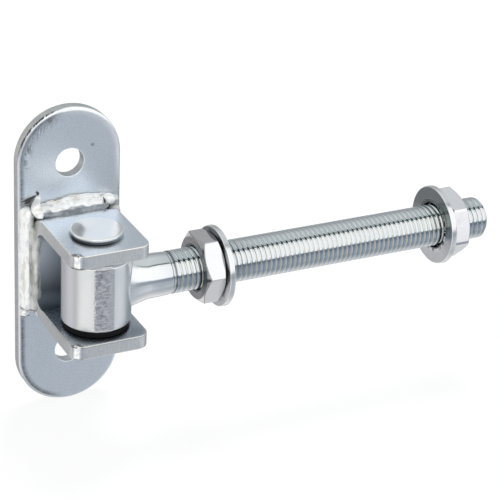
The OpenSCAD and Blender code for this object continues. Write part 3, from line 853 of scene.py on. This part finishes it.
def topBeadPatch(shape, seed):
    # Ring of control points in the plane x = const, smoothed to a closed curve: toe on the plate, shoulder,
    # crest,
    # undercut, toe on the bend and root
    s, size = fadeEnds(shape["samples"], 2 * shape["halfLength"], shape["endRun"])
    x = s - shape["halfLength"]
    toe = np.interp(x, shape["stations"], shape["toeHeight"])
    reach = np.interp(x, shape["stations"], shape["crestReach"])
    top = bracketHigh[2]
    depth = [0.3, 0.12, 0.62, 0.97, 0.94, 0.86, 0.4, -0.1]
    height = [1.0, 0.86, 0.58, 0.12, -0.32, -0.95, -1.9, -1.2]
    y = plateFront + 0.25 - np.outer(reach, depth)
    z = top + np.outer(np.ones_like(x), height) * toe[:, None]
    middleY, middleZ = plateFront - 1.2, top - 0.6
    y = middleY + (y - middleY) * size[:, None]
    z = middleZ + (z - middleZ) * size[:, None]
    rings = np.stack([np.broadcast_to(x[:, None], y.shape), y, z], axis=-1)
    rings = smoothRings(rings, 8)
    phase = turn * (rings[..., 0] - 0.25 * (rings[..., 2] - top)) / shape["ripplePitch"]
    rings = ripple(rings, phase, size, shape, seed)
    # Painted shade on the bead's lower side under its crest, lighter towards +X
    deepDark = 0.6 * smooth(-(rings[..., 2] - top - 0.8 - 1.2 * lumps(rings, 2.2, seed)), 0, 1.0)
    deepDark = deepDark * (1 - 0.4 * smooth(rings[..., 0], -4, 12))
    return closeRing(rings), closeRing(deepDark)


def tubePatch(path, radii, perSpan, sides, coarse, fine, seed):
    # Round bar carried along a smooth path through the given points, its radius smoothed the same way
    line = catmull(path, perSpan)
    radius = catmull(np.array(radii)[:, None], perSpan)[:, 0]
    along = np.gradient(line, axis=0)
    along = along / np.linalg.norm(along, axis=-1, keepdims=True)
    across = np.cross(along, [1.0, 0.2, 0.1])
    across = across / np.linalg.norm(across, axis=-1, keepdims=True)
    third = np.cross(along, across)
    angle = np.linspace(0, turn, sides, endpoint=False)[None, :, None]
    rings = line[:, None] + radius[:, None, None] * (np.cos(angle) * across[:, None] + np.sin(angle)
                                                     * third[:, None])
    body = smooth(radius, 0, 0.5)[:, None, None]
    return closeRing(rings + (roughen(rings, coarse, fine, seed) - rings) * body)


def flipZ(points):
    # Mirror in the plane through the bracket's middle
    return points * [1, 1, -1] + [0, 0, 2 * rodZ]


# Round lumps beside the top bead: paths in mm, radii, noise seed and share of dark (painted shade on the
# second lump); the last three are thin dark streaks
topLumps = [
    ([[12.2, -5.6, 23.6], [12.9, -6.3, 23.3], [14.3, -6.6, 22.6], [15.8, -6.0, 21.6], [17.0, -5.2, 20.4]],
     [0.0, 1.5, 2.15, 1.7, 0.0], 5, 0.0),
    ([[15.0, -5.6, 23.2], [16.6, -5.5, 22.0], [18.0, -5.0, 20.0], [18.9, -4.5, 17.6]], [0.0, 1.9, 1.5, 0.0],
     6, 0.45),
    ([[-12.2, -4.9, 27.8], [-12.4, -5.2, 27.1], [-13.6, -6.6, 25.6], [-14.4, -8.0, 24.3], [-14.1, -9.6, 22.8],
      [-13.7, -11.2, 21.9], [-13.5, -12.0, 21.3]], [0.0, 0.75, 1.45, 1.85, 1.75, 1.2, 0.0], 8, 0.0),
    ([[-12.2, -4.7, 27.4], [-12.5, -4.8, 28.3], [-13.0, -4.6, 29.2]], [0.0, 0.4, 0.0], 9, 1.0),
    ([[-13.0, -4.8, 27.6], [-14.6, -4.9, 26.8], [-16.1, -5.1, 26.0], [-17.4, -5.4, 25.4],
      [-18.4, -5.5, 25.1]],
     [0.0, 0.35, 0.55, 0.35, 0.0], 10, 1.0),
    ([[11.9, -7.8, 24.4], [12.1, -8.6, 22.9], [12.6, -8.6, 21.6]], [0.0, 0.45, 0.0], 11, 1.0),
]


# The same for the spatter below the left bead: a pale lump, and a dark line under it painted as its shadow
leftLumps = [
    ([[-19.3, -4.3, -20.8], [-18.6, -4.7, -19.6], [-17.3, -4.8, -19.3], [-15.6, -4.3, -20.2]],
     [0.0, 1.5, 1.4, 0.0], 13, 0.1),
    ([[-19.4, -4.5, -22.0], [-18.3, -4.6, -21.3], [-16.9, -4.6, -21.0], [-15.4, -4.5, -21.4]],
     [0.0, 0.4, 0.4, 0.0], 14, 0.8),
]


lumpSkin = {"perSpan": 14, "sides": 32, "coarse": 0.16, "fine": 0.05}


def lumpPatches(table, skin=lumpSkin):
    return [patch(tubePatch(path, radii, seed=seed, **skin), mark=share) for path, radii, seed,
            share in table]


def makeTopWeld():
    bead, deepDark = topBeadPatch(topBead, 1)
    makePiece("topWeld", [patch(bead, mark=deepDark)] + lumpPatches(topLumps), "post_bracket",
              ["weld_top"],
              weldMetal)


def makeBottomWeld():
    bead, deepDark = topBeadPatch({**topBead, "toeHeight": [2.2, 2.6, 3.0, 3.2, 3.1, 2.9, 2.4, 1.8]}, 21)
    makePiece("bottomWeld", [patch(flipZ(bead) * [0.92, 1, 1], mark=deepDark)], "post_bracket",
              ["weld_bottom"], weldMetal)


sideBead = {
    "samples": 190,
    "bottom": -18.2,        # heights between which the bead runs
    "top": 24.2,
    "lapEnd": 15.2,         # above this the second ridge runs out
    "lapRun": 1.6,
    "endRun": 3.2,
    "ripplePitch": 2.6,
    "ripple": 0.05,
    "coarse": 0.34,
    "fine": 0.06,
}


def sideBeadPatch(shape, seed):
    # Ring of control points in the plane z = const: toe at the plate's edge, broad ridge, valley, second
    # ridge lapped
    # over the web's corner, and the hidden root
    s, size = fadeEnds(shape["samples"], shape["top"] - shape["bottom"], shape["endRun"])
    z = s + shape["bottom"]
    controls = np.array([[-19.75, -4.2], [-19.6, -5.9], [-18.7, -7.9], [-17.5, -8.8], [-16.7, -8.2],
                         [-16.1, -9.9],
                         [-14.9, -10.75], [-13.7, -10.35], [-13.1, -9.6], [-14.2, -8.0], [-16.0, -5.0],
                         [-18.0, -3.9]])
    root = np.array([-16.6, -5.2])
    wave = lumps(np.stack([z, 0 * z, 0 * z], axis=-1), 4.5, seed)
    reach = (size * (1 + 0.07 * wave))[:, None, None]
    lap = smooth(z, shape["lapEnd"], shape["lapEnd"] + shape["lapRun"])[:, None, None]
    bare = controls.copy()
    bare[4:10] = [[-16.4, -8.7], [-15.9, -8.4], [-15.4, -8.0], [-15.0, -7.5], [-14.8, -6.9], [-14.8, -6.2]]
    shapeAt = controls * (1 - lap) + bare * lap
    shapeAt = root + (shapeAt - root) * reach
    shapeAt[..., 0] = np.maximum(shapeAt[..., 0], -19.85)
    rings = np.concatenate([shapeAt, np.broadcast_to(z[:, None, None], shapeAt.shape[:2] + (1,))], axis=-1)
    rings = smoothRings(rings, 6)
    phase = turn * (rings[..., 2] + 0.5 * (rings[..., 0] + 17)) / shape["ripplePitch"]
    rings = ripple(rings, phase, size, shape, seed)
    rings[..., 0] = np.maximum(rings[..., 0], plateLow[0] + 0.05)
    return closeRing(rings)


def makeSideWelds():
    left = sideBeadPatch(sideBead, 2)
    # Painted shade: dark in the notch at the bead's top, along its foot and in its valley, and grey on the
    # second ridge
    weldShade = np.exp(-((left[..., 0] + 15.0) / 1.5) ** 2 - ((left[..., 2] - 24.2) / 1.2) ** 2)
    foot = np.exp(-((left[..., 2] + 17.0 + 0.4 * lumps(left, 1.5, 3)) / 0.45) ** 2)
    valley = 0.5 * np.exp(-((left[..., 0] + 16.7) / 0.35) ** 2) * smooth(-left[..., 1], 6, 7)
    greyShade = smooth(left[..., 0], -17.2, -16.0) * (0.33 + 0.27 * smooth(lumps(left * [1, 1, 0.4], 1.8, 14),
                                                                        -0.6, 0.5))
    weldShade = np.maximum(np.maximum(weldShade, 0.95 * foot), np.maximum(valley * (0.5 + 0.5 * lumps(left, 2.2, 12)),
                                                                  greyShade))
    makePiece("leftWeld", [patch(left, mark=weldShade)] + lumpPatches(leftLumps), "post_bracket",
              ["weld_left"], sideWeldMetal)
    right = sideBeadPatch({**sideBead, "bottom": -20.5, "top": 20.0}, 31) * [-1, 1, 1]
    # Painted shade, grey towards the right bead's top end
    makePiece("rightWeld", [patch(right, mark=0.45 * smooth(right[..., 2], 13, 17))], "post_bracket",
              ["weld_right"], sideWeldMetal)


makeTopWeld()
makeBottomWeld()
makeSideWelds()
print("welds made")


# Hinge pin

pinShape = {
    "shankRadius": 7.0,
    "headHeight": 2.2,
    "headEdge": 0.55,
    "tailChamfer": 1.0,
    "grooveTop": -19.56,    # ring groove below the lower ear
    "grooveLow": -20.66,
    "grooveDepth": 0.4,
    "dimple": (-6.1, -29.8),  # hammer mark on the head
    "dimpleSize": (2.6, 3.6),
    "dimpleDepth": 0.08,
    "sides": 96,
}


def makePin(shape):
    headR, r = (pinHigh[0] - pinLow[0]) / 2, shape["shankRadius"]
    top, end = pinHigh[2], pinLow[2]
    seat = top - shape["headHeight"]
    groove, chamfer = r - shape["grooveDepth"], shape["tailChamfer"]
    rows, edge = roundedRows(
        [[0, end], [r - chamfer, end], [r, end + chamfer], [r, shape["grooveLow"]],
         [groove, shape["grooveLow"]],
         [groove, shape["grooveTop"]], [r, shape["grooveTop"]], [r, seat], [headR, seat],
         [headR, seat + 1.0], [headR, top], [headR - shape["headEdge"] - 0.6, top]],
        [0.2, 0.2, 0.05, 0.05, 0.05, 0.05, 0.05, 0.15, 0, shape["headEdge"]], steps=4)
    disc = np.linspace(rows[-1][0], 0, 26)[1:]
    rows = np.concatenate([rows, np.stack([disc, np.full(disc.shape, top)], axis=-1)])
    # Painted highlight on the rounded edges
    edge = np.concatenate([0.6 * edge, 0 * disc])
    angle = np.linspace(0, turn, shape["sides"] + 1)
    points = np.stack([np.outer(rows[:, 0], np.cos(angle)), pinY + np.outer(rows[:, 0], np.sin(angle)),
                       np.outer(rows[:, 1], np.ones_like(angle))], axis=-1)
    # The head's top: slightly crowned towards the rim and dented by the dimple
    away = np.hypot((points[..., 0] - shape["dimple"][0]) / shape["dimpleSize"][0],
                    (points[..., 1] - shape["dimple"][1]) / shape["dimpleSize"][1])
    onTop = smooth(points[..., 2], top - 0.05, top)
    points[..., 2] -= onTop * (shape["dimpleDepth"] * np.exp(-away ** 2) + 0.015 + 0.012 * lumps(points, 3.0,
                                                                                                 4))
    # Painted shadow on the lower part of the head's rim, strongest on the left, and painted shade in the
    # dimple
    paintedShade = smooth(rows[:, 1], seat + 1.65, seat + 1.1) * (rows[:, 1] > seat - 0.5)
    left = smooth(np.cos(angle + np.radians(125)), -0.2, 0.8)
    dark = np.maximum(paintedShade[:, None] * (0.2 + 0.75 * left), 0.18 * onTop * np.exp(-away ** 2))
    makePiece("pin", [patch(points, edge=edge, dark=dark)], "post_bracket", ["hinge_pin"],
              boltMetal)


makePin(pinShape)


# Eye bolt: barrel, neck and threaded rod

boltShape = {
    "chamfer": 1.1,
    "boreRadius": 7.05,
    "flatWidth": 7.2,       # trimming flat down the barrel's front
    "flatRough": 0.11,
    "footRadius": 9.8,     # where the neck's fillet leaves the barrel, measured along the barrel's skin
    "filletEnd": 18.5,
    "neckRadius": 8.2,
    "neckEnd": 27.6,
    "grooveRadius": 7.35,
    "threadStart": 28.2,
    "threadRadius": 8.0,
    "pitch": 2.0,
    # one ridge, from crest to crest: places as shares of the pitch, and depths below the crest in mm
    "ridgeWhere": [0.0, 0.14, 0.28, 0.42, 0.54, 0.61, 0.68, 0.74, 0.80, 0.89, 0.96],
    "ridgeBelow": [0.02, 0.005, 0.0, 0.005, 0.02, 0.16, 0.44, 0.54, 0.54, 0.32, 0.1],
    "endChamfer": 1.4,
    "columns": 96,          # round the neck and the thread; a multiple of 8
}


def flatten(points, shape):
    # Cuts the barrel's skin back to the plane of the trimming flat; returns the points and where they were
    # cut
    barrelR = -boltLow[0]
    normal = np.array(flatNormal)
    limit = np.sqrt(barrelR ** 2 - (shape["flatWidth"] / 2) ** 2)
    over = (points - [0, pinY, rodZ]) @ normal - limit
    beside = (points - [0, pinY, rodZ]) @ np.array(flatSide)
    cut = smooth(over + 0.05 * lumps(points, 1.4, 17) * smooth(-beside, 2.5, 3.2), -0.002, 0.03)
    cut = cut * (1 - 0.5 * smooth(beside, 0.3, 2.6))
    rough = shape["flatRough"] * (0.6 * lumps(points, 1.3, 6) + 0.5 * lumps(points, 0.7, 9) - 0.2)
    return points - (np.maximum(over, 0) - cut * rough * smooth(over, 0.0, 0.08))[..., None] * normal, cut


def makeBolt(shape):
    barrelR, halfH = -boltLow[0], (boltHigh[2] - boltLow[2]) / 2
    chamfer, bore = shape["chamfer"], shape["boreRadius"]
    # the neck's square field on the barrel reaches this far each way from its middle
    side = halfH - chamfer - 0.5
    psi = np.linspace(0, turn, shape["columns"] + 1)
    square = np.stack([np.cos(psi), np.sin(psi)], axis=-1)
    square = side * square / np.abs(square).max(axis=-1, keepdims=True)
    quarter = shape["columns"] // 4
    steps = np.linspace(-np.pi / 4, np.pi / 4, quarter + 1)
    field = side * np.tan(steps)  # heights, and distances along the skin, of the field's own columns
    fieldAngle = field / barrelR

    def skin(angle, z, r=barrelR):
        angle, z, r = np.broadcast_arrays(angle, z, r)
        return np.stack([r * np.cos(angle), pinY + r * np.sin(angle), rodZ + z], axis=-1)

    # Neck's field: straight lines on the unrolled skin from the fillet's foot to the square
    foot = shape["footRadius"] * np.stack([np.cos(psi), np.sin(psi)], axis=-1)
    unrolled = between(foot, square, 5)
    patches = [patch(skin(unrolled[..., 0] / barrelR, unrolled[..., 1]), satin=1)]
    # Fillet: a quadratic curve from the foot over the neck's own line on the barrel to the plain neck
    neckR = shape["neckRadius"]
    hit = np.sqrt(barrelR ** 2 - (neckR * np.cos(psi)) ** 2)
    start = skin(foot[:, 0] / barrelR, foot[:, 1])

    def neckRing(x, r):
        return np.stack([np.broadcast_to(x, psi.shape), pinY + r * np.cos(psi), rodZ + r * np.sin(psi)],
                        axis=-1)

    bend, stop = neckRing(hit + 2.2, neckR + 0.85), neckRing(shape["filletEnd"], neckR)
    t = np.linspace(0, 1, 15)[:, None, None]
    patches.append(patch((1 - t) ** 2 * start + 2 * t * (1 - t) * bend + t ** 2 * stop,
                         satin=smooth(t.ravel(), 0.7, 0.0)))
    # Rest of the skin, with columns at both edges of the flat
    flatMiddle = turn * 0.75 + flatTurn
    flatHalf = np.arcsin(shape["flatWidth"] / 2 / barrelR)
    stops = [side / barrelR, flatMiddle - flatHalf - 0.02, flatMiddle - flatHalf + 0.02,
             flatMiddle + flatHalf - 0.02,
             flatMiddle + flatHalf + 0.02, turn - side / barrelR]
    counts = [44, 2, 20, 2, 8]
    around = np.concatenate([np.linspace(a, b, n, endpoint=False) for a, b,
                             n in zip(stops, stops[1:], counts)])
    around = np.append(around, stops[-1])
    rest, cut = flatten(skin(around[None], field[:, None]), shape)
    patches.append(patch(rest, mark=cut, satin=1))
    # Ends and bore: one profile carried round the whole barrel
    whole = np.concatenate([around, turn + fieldAngle[1:]])
    ends = [[barrelR, side], [barrelR, halfH - chamfer], [barrelR - chamfer, halfH], [bore, halfH]]
    profile = ends + [[r, -z] for r, z in ends[::-1]]
    rows, edge = roundedRows(profile, [0.25, 0.25, 0.25, 0.25, 0.25, 0.25], steps=2)
    loop = skin(whole[None], rows[:, 1, None], rows[:, 0, None])
    loop, cut = flatten(loop, shape)
    # edge: painted highlight on the rounded chamfers and bore edges
    patches.append(patch(loop, mark=cut, edge=edge, satin=1))
    # Neck: plain, with a shallow groove where the thread starts
    neckRows, _ = roundedRows(
        [[shape["filletEnd"], neckR], [23.0, neckR - 0.05], [shape["neckEnd"] - 0.5, neckR - 0.25],
         [shape["neckEnd"], shape["grooveRadius"]], [shape["threadStart"], shape["grooveRadius"] + 0.1]],
        [0.8, 0.3, 0.15], steps=3)
    patches.append(patch(carry(neckRows, lambda row: neckRing(row[0], row[1])), satin=-0.3))
    patches += threadPatches(shape, psi, neckRing)
    makePiece("eyeBolt", patches, "gate_rod", ["eye_bolt"], boltMetal)


def threadPatches(shape, psi, neckRing):
    # Rolled thread: along the rod the radius follows a broad crest and a narrow groove, repeated every pitch
    # and
    # shifted by the turn about the axis, so that the grid's rows run along the helix. It fades in at the neck
    # and is
    # cut by the end's chamfer.
    pitch, radius = shape["pitch"], shape["threadRadius"]
    start, end = shape["threadStart"], boltHigh[0]
    where = np.array(shape["ridgeWhere"]) * pitch
    below = np.array(shape["ridgeBelow"])
    perTurn = len(where)
    rows = int(np.ceil((end - start) / pitch) + 2) * perTurn
    index = np.arange(rows)
    base = start - 2 * pitch + (index // perTurn) * pitch + where[index % perTurn]
    x = base[:, None] + pitch * psi[None] / turn
    clipped = np.clip(x, start, end)
    fade = smooth(clipped, start, start + 0.8 * pitch)
    r = radius - below[index % perTurn][:, None] * (0.15 + 0.85 * fade) * np.where(x < start, 0, 1)
    r = np.minimum(r, shape["grooveRadius"] + 0.1 + (clipped - start) * 2.2)
    r = np.minimum(r, radius - (clipped - (end - shape["endChamfer"])))
    r = np.where(x <= start, shape["grooveRadius"] + 0.1, r)
    points = np.stack([clipped, pinY + r * np.cos(psi), rodZ + r * np.sin(psi)], axis=-1)
    groove = smooth(below / below.max(), 0.1, 0.7)[index % perTurn][:, None] * fade
    lead = np.exp(-((clipped - start - 0.35) / 0.3) ** 2)
    face = [neckRing(end, s * (radius - shape["endChamfer"])) for s in np.linspace(1, 0, 8)]
    # Painted shade in a ring where the thread starts; through the edge mask the grooves are painted lighter,
    # as highlight lines
    return [patch(points, dark=0.85 * lead, edge=groove, satin=1.6 * groove - 0.5),
            patch(np.stack(face), satin=-0.3)]


makeBolt(boltShape)
print("pin and eye bolt made")


# Nuts and rod washers

nutShape = {
    "acrossFlats": 24.0,
    "turn": 3.9,            # degrees about the rod, from the front upwards
    "chamferSlope": 30.0,   # degrees
    "faceShare": 0.97,      # radius of the round face, as a share of half the width across flats
    "cornerRound": 0.45,
    "boreRadius": 8.05,
    "countersink": 0.7,
    "edgeShare": 1.0,       # how dark its edges are
}
washerShape = {
    "boreRadius": 9.0,
    "edgeRound": 0.45,
    "sides": 128,
    "paintedShade": 10.8,           # radius of the dark beside the rod
    "paintedShadeShare": 0.9,
}


def aboutRod(x, r, angle):
    # Point at distance x along the rod and r from its axis; angle 0 points towards -Y and grows upwards
    x, r, angle = np.broadcast_arrays(x, r, angle)
    return np.stack([x, pinY - r * np.cos(angle), rodZ + r * np.sin(angle)], axis=-1)


def hexOutline(half, rounding, perFlat=14, perCorner=4):
    # Hexagon with rounded corners, as angle and radius: six flats joined by arcs
    angles, radii = [], []
    cornerAngle = np.pi / 6
    reach = half / np.cos(cornerAngle) - rounding / np.cos(cornerAngle)
    flatEnd = reach * np.sin(cornerAngle)
    for k in range(6):
        t = np.linspace(-flatEnd, flatEnd, perFlat + 1)[:-1]
        flat = np.stack([np.full(t.shape, half), t], axis=-1)
        a = np.linspace(0, 2 * cornerAngle, perCorner + 1)[:-1]
        arc = reach * np.array([np.cos(cornerAngle), np.sin(cornerAngle)]) + rounding * np.stack([np.cos(a),
                                                                                                  np.sin(a)],
                                                                                                  -1)
        p = np.concatenate([flat, arc])
        angles.append(np.arctan2(p[:, 1], p[:, 0]) + k * np.pi / 3 + np.pi / 6)
        radii.append(np.hypot(p[:, 0], p[:, 1]))
    angles, radii = np.concatenate(angles), np.concatenate(radii)
    return np.append(angles, angles[0] + turn), np.append(radii, radii[0])


def makeNut(node, name, body, shape):
    low, high = boxMm(node)
    thick = high[0] - low[0]
    half = shape["acrossFlats"] / 2
    angle, outer = hexOutline(half, shape["cornerRound"])
    face = half * shape["faceShare"]
    chamfer = (outer - face) * np.tan(np.radians(shape["chamferSlope"]))
    bore, sink = shape["boreRadius"], shape["countersink"]
    one = np.ones_like(angle)
    near = [[bore * one, sink * one], [(bore + sink) * one, 0 * one], [(bore + sink + 0.5) * one, 0 * one],
            [face * one, 0 * one], [outer, chamfer]]
    far = [[r, thick - x] for r, x in near[::-1]]
    corners = np.array([[bore * one, thick / 2 * one]] + near + far + [[bore * one, thick / 2 * one]])
    corners = np.moveaxis(corners, 1, -1)  # corners x angles x (radius, distance)
    rows, edge = roundedRows(corners, [0.15, 0.2, 0, 0.18, 0.22, 0.22, 0.18, 0, 0.2, 0.15], steps=2)
    endFace = (rows[:, :, 1].max(axis=1) < 0.02) | (rows[:, :, 1].min(axis=1) > thick - 0.02)
    turned = aboutRod(low[0] + rows[..., 1], rows[..., 0], angle[None] + np.radians(shape["turn"]))
    # Painted shade in the bore and countersink, and on the face beside the bore towards the front
    sunkShade = 0.9 * (rows[..., 0] < bore + sink + 0.3)
    shade = smooth(rows[..., 0], 13.4, 10.4) * (rows[..., 1] < 2) * (rows[..., 0] < outer - 0.03)
    shade = shade * smooth(np.cos(angle + np.radians(shape["turn"]) - 0.1), 0.55, 0.95)
    # End faces in the darker mark colour, partly their turned finish and partly painted shade; edges in a
    # dark brown line
    makePiece(name, [patch(turned, mark=endFace.astype(float),
                           edge=edge * shape["edgeShare"] * (rows.min(axis=1)[:, 0] > 9),
                           dark=np.maximum(sunkShade, 0.8 * shade))],
              body, [node], nutMetal)


def makeWasher(node, name, body, shape):
    low, high = boxMm(node)
    outer, thick, bore = (high[2] - low[2]) / 2, high[0] - low[0], shape["boreRadius"]
    drop = rodZ - (high[2] + low[2]) / 2
    # From the bore's middle over the near face, the rim and the far face, back to the bore's middle
    corners = [[bore, thick / 2], [bore, 0], [outer, 0], [outer, thick], [bore, thick], [bore, thick / 2]]
    corners = corners[:2] + [[shape["paintedShade"] - 2, 0], [shape["paintedShade"], 0]] + corners[2:]
    rows, edge = roundedRows(corners, [0.3, 0, 0, shape["edgeRound"], shape["edgeRound"], 0.3])
    face = ((rows[:, 1] < 0.02) | (rows[:, 1] > thick - 0.02)).astype(float)
    angle = np.linspace(0, turn, shape["sides"] + 1)
    points = aboutRod(low[0] + rows[:, 1, None], rows[:, 0, None], angle[None]) - [0, 0, drop]
    # Painted shade beside the rod; painted highlight on the rounded rim edges
    near = smooth(rows[:, 0], shape["paintedShade"], shape["paintedShade"] - 2)
    makePiece(name, [patch(points, mark=face, edge=0.6 * edge * (rows[:, 0] > bore + 1),
                           dark=shape["paintedShadeShare"] * near)], body, [node], washerMetal)


makeNut("inner_nut", "innerNut", "inner_nut_turn", nutShape)
makeNut("outer_nut", "outerNut", "outer_nut_turn", {**nutShape, "turn": -14.5, "edgeShare": 0.15})
makeWasher("inner_washer", "innerWasher", "inner_washer_slide",
           {**washerShape, "paintedShade": 13.8, "paintedShadeShare": 0.6})
makeWasher("outer_washer", "outerWasher", "outer_washer_slide", washerShape)
print("nuts and washers made")


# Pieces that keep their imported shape

for name, material in (("retaining_ring", boltMetal), ("upper_thrust_washer", nylon),
                       ("lower_thrust_washer", nylon)):
    if not nodes[name].material_slots:
        nodes[name].data.materials.append(material)
    for holder in nodes[name].material_slots:
        holder.material = material


# Studio: floor, world and camera

studio = {
    "floorHeight": -60.5,   # mm
    "floorHalf": 4000.0,
    "shadowShare": 0.12,    # how much of the floor's own shading shows through its white
}


def makeFloor(values):
    half, height = values["floorHalf"], values["floorHeight"]
    line = np.linspace(-half, half, 9)
    x, y = np.meshgrid(line, line)
    points = np.stack([x, y, np.full(x.shape, height)], axis=-1).reshape(-1, 3)
    index = np.arange(81).reshape(9, 9)
    quads = np.stack([index[:-1, :-1], index[:-1, 1:], index[1:, 1:], index[1:, :-1]], axis=-1).reshape(-1, 4)
    mesh = bpy.data.meshes.new("floor")
    mesh.from_pydata(points * mm, [], quads)
    material, tree, _ = newMaterial("paleFloor")
    tree.nodes.clear()
    paths = addNode(tree, "LightPath")
    seen = compute(tree, "MAXIMUM", paths.outputs["Is Camera Ray"], paths.outputs["Is Glossy Ray"])
    seen = compute(tree, "MAXIMUM", seen, paths.outputs["Is Transmission Ray"])
    share = product(tree, seen, 1 - values["shadowShare"])
    diffuse = addNode(tree, "BsdfDiffuse", {"Color": (0.92, 0.92, 0.92, 1)})
    glow = addNode(tree, "Emission", {"Color": (1, 1, 1, 1), "Strength": 1.0})
    mix = addNode(tree, "MixShader", {0: share, 1: diffuse.outputs[0], 2: glow.outputs[0]})
    under = addNode(tree, "NewGeometry").outputs["Backfacing"]
    clear = addNode(tree, "MixShader", {0: under, 1: mix.outputs[0],
                                        2: addNode(tree, "BsdfTransparent").outputs[0]})
    target = addNode(tree, "OutputMaterial", {"Surface": clear.outputs[0]})
    mesh.materials.append(material)
    floor = addObject("floor", mesh)
    floor.visible_glossy = False


# What the metal mirrors. around: tone by the angle about the X axis (0 behind, 90 overhead, 180 in front, 270
# below);
# beside: tone by the angle about the Z axis for the low directions (0 in front, 90 to the right), as
# fitted.
surroundings = {
    "left": (0.92, 0.93, 0.90, 1),
    "around": [(0, (0.50, 0.53, 0.56)), (20, (0.42, 0.42, 0.43)), (27, (0.53, 0.55, 0.57)),
               (38, (0.60, 0.64, 0.66)),
               (55, (0.76, 0.80, 0.82)), (80, (0.74, 0.79, 0.81)), (97.5, (0.74, 0.78, 0.80)),
               (99, (0.16, 0.20, 0.20)), (104.8, (0.10, 0.14, 0.14)), (105.8, (1.15, 1.17, 1.15)),
               (120, (1.32, 1.33, 1.33)),
               (178.5, (1.30, 1.32, 1.34)), (181.5, (0.32, 0.36, 0.42)), (215, (0.46, 0.51, 0.56)),
               (245, (0.52, 0.56, 0.60)), (262, (0.72, 0.73, 0.75)), (298, (1.02, 1.01, 1.02)),
               (335, (0.86, 0.88, 0.92)), (359, (0.52, 0.55, 0.58))],
    "beside": [(0, (0.44, 0.46, 0.51)), (18, (0.49, 0.53, 0.57)), (30, (0.54, 0.58, 0.64)),
               (38, (0.70, 0.74, 0.79)),
               (48, (0.84, 0.87, 0.92)),
               (80, (0.78, 0.82, 0.86)), (96, (0.26, 0.33, 0.36)), (150, (0.24, 0.29, 0.32)),
               (170, (0.42, 0.43, 0.45)), (214, (0.44, 0.44, 0.46)), (230, (0.72, 0.69, 0.75)),
               (256, (0.74, 0.73, 0.76)), (263, (0.40, 0.41, 0.42)), (270, (0.50, 0.51, 0.51)),
               (282, (1.08, 1.08, 1.06)), (328, (1.12, 1.12, 1.10)), (338, (0.60, 0.62, 0.66)),
               (359, (0.46, 0.48, 0.53))],
}


def makeWorld(values):
    world = bpy.data.worlds.new("studio")
    bpy.context.scene.world = world
    world.use_nodes = True
    tree = world.node_tree
    background = tree.nodes["Background"]
    parts = addNode(tree, "SeparateXYZ", {0: addNode(tree, "TexCoord").outputs["Generated"]})
    x, y, z = parts.outputs[0], parts.outputs[1], parts.outputs[2]

    def tones(angle, stops):
        share = compute(tree, "FRACT", compute(tree, "MULTIPLY_ADD", angle, 1 / turn, 1.0))
        node = addNode(tree, "ValToRGB", {"Fac": share})
        elements = node.color_ramp.elements
        while len(elements) < len(stops):
            elements.new(1.0)
        for element, (degrees, tone) in zip(elements, stops):
            element.position = degrees / 360
            element.color = (*tone, 1)
        return node.outputs["Color"]

    around = tones(compute(tree, "ARCTAN2", z, y), values["around"])
    beside = tones(compute(tree, "ARCTAN2", x, product(tree, y, -1.0)), values["beside"])
    low = product(tree, ramp(tree, z, -0.36, -0.2, 1.0, 0.0), ramp(tree, z, -0.85, -0.6))
    leftward = product(tree, ramp(tree, x, -0.55, -0.75), ramp(tree, z, -0.3, -0.1))
    around = mixColour(tree, leftward, around, values["left"])
    paths = addNode(tree, "LightPath")
    seen = compute(tree, "MAXIMUM", paths.outputs["Is Camera Ray"], paths.outputs["Is Transmission Ray"])
    colour = mixColour(tree, seen, mixColour(tree, low, around, beside), (1, 1, 1, 1))
    tree.links.new(colour, background.inputs["Color"])
    background.inputs["Strength"].default_value = 1.0


camera = {
    "azimuth": 27.4646,     # degrees from +Y towards +X
    "elevation": 26.3647,
    "roll": 2.8722,
    "distance": 769.632,    # mm
    "lens": 146.26,
    "target": (67.2172, -20.0, -1.7750),
}


def makeCamera(values):
    az, el, roll = (np.radians(values[k]) for k in ("azimuth", "elevation", "roll"))
    forward = np.array([np.sin(az) * np.cos(el), np.cos(az) * np.cos(el), -np.sin(el)])
    right = np.array([np.cos(az), -np.sin(az), 0])
    up = np.cross(right, forward)
    turnedRight = np.cos(roll) * right + np.sin(roll) * up
    turnedUp = np.cos(roll) * up - np.sin(roll) * right
    data = bpy.data.cameras.new("camera")
    data.lens = values["lens"]
    data.sensor_width = 36.0
    data.clip_start, data.clip_end = 0.01, 50.0
    viewer = addObject("camera", data)
    place = (np.array(values["target"]) - forward * values["distance"]) * mm
    axes = np.stack([turnedRight, turnedUp, -forward], axis=1)
    viewer.matrix_world = Matrix.Translation(Vector(place)) @ Matrix(axes.tolist()).to_4x4()
    bpy.context.scene.camera = viewer


topLamp = {
    "size": 0.35,           # m, like the two places
    "energy": 6.0,
    "place": (0.25, 0.25, 0.9),
    "target": (0.05, -0.03, 0),
}


def makeLamp(values):
    # A soft lamp above and behind, for the shadows under the pin's head and the barrel
    data = bpy.data.lights.new("topLamp", "AREA")
    data.shape = "DISK"
    data.size = values["size"]
    data.energy = values["energy"]
    lamp = addObject("topLamp", data)
    lamp.location = values["place"]
    lamp.visible_glossy = False
    lamp.rotation_euler = (Vector(values["target"]) - lamp.location).to_track_quat("-Z", "Y").to_euler()


makeFloor(studio)
makeWorld(surroundings)
makeLamp(topLamp)
makeCamera(camera)
bpy.context.scene.view_settings.view_transform = "Standard"
print("studio made")
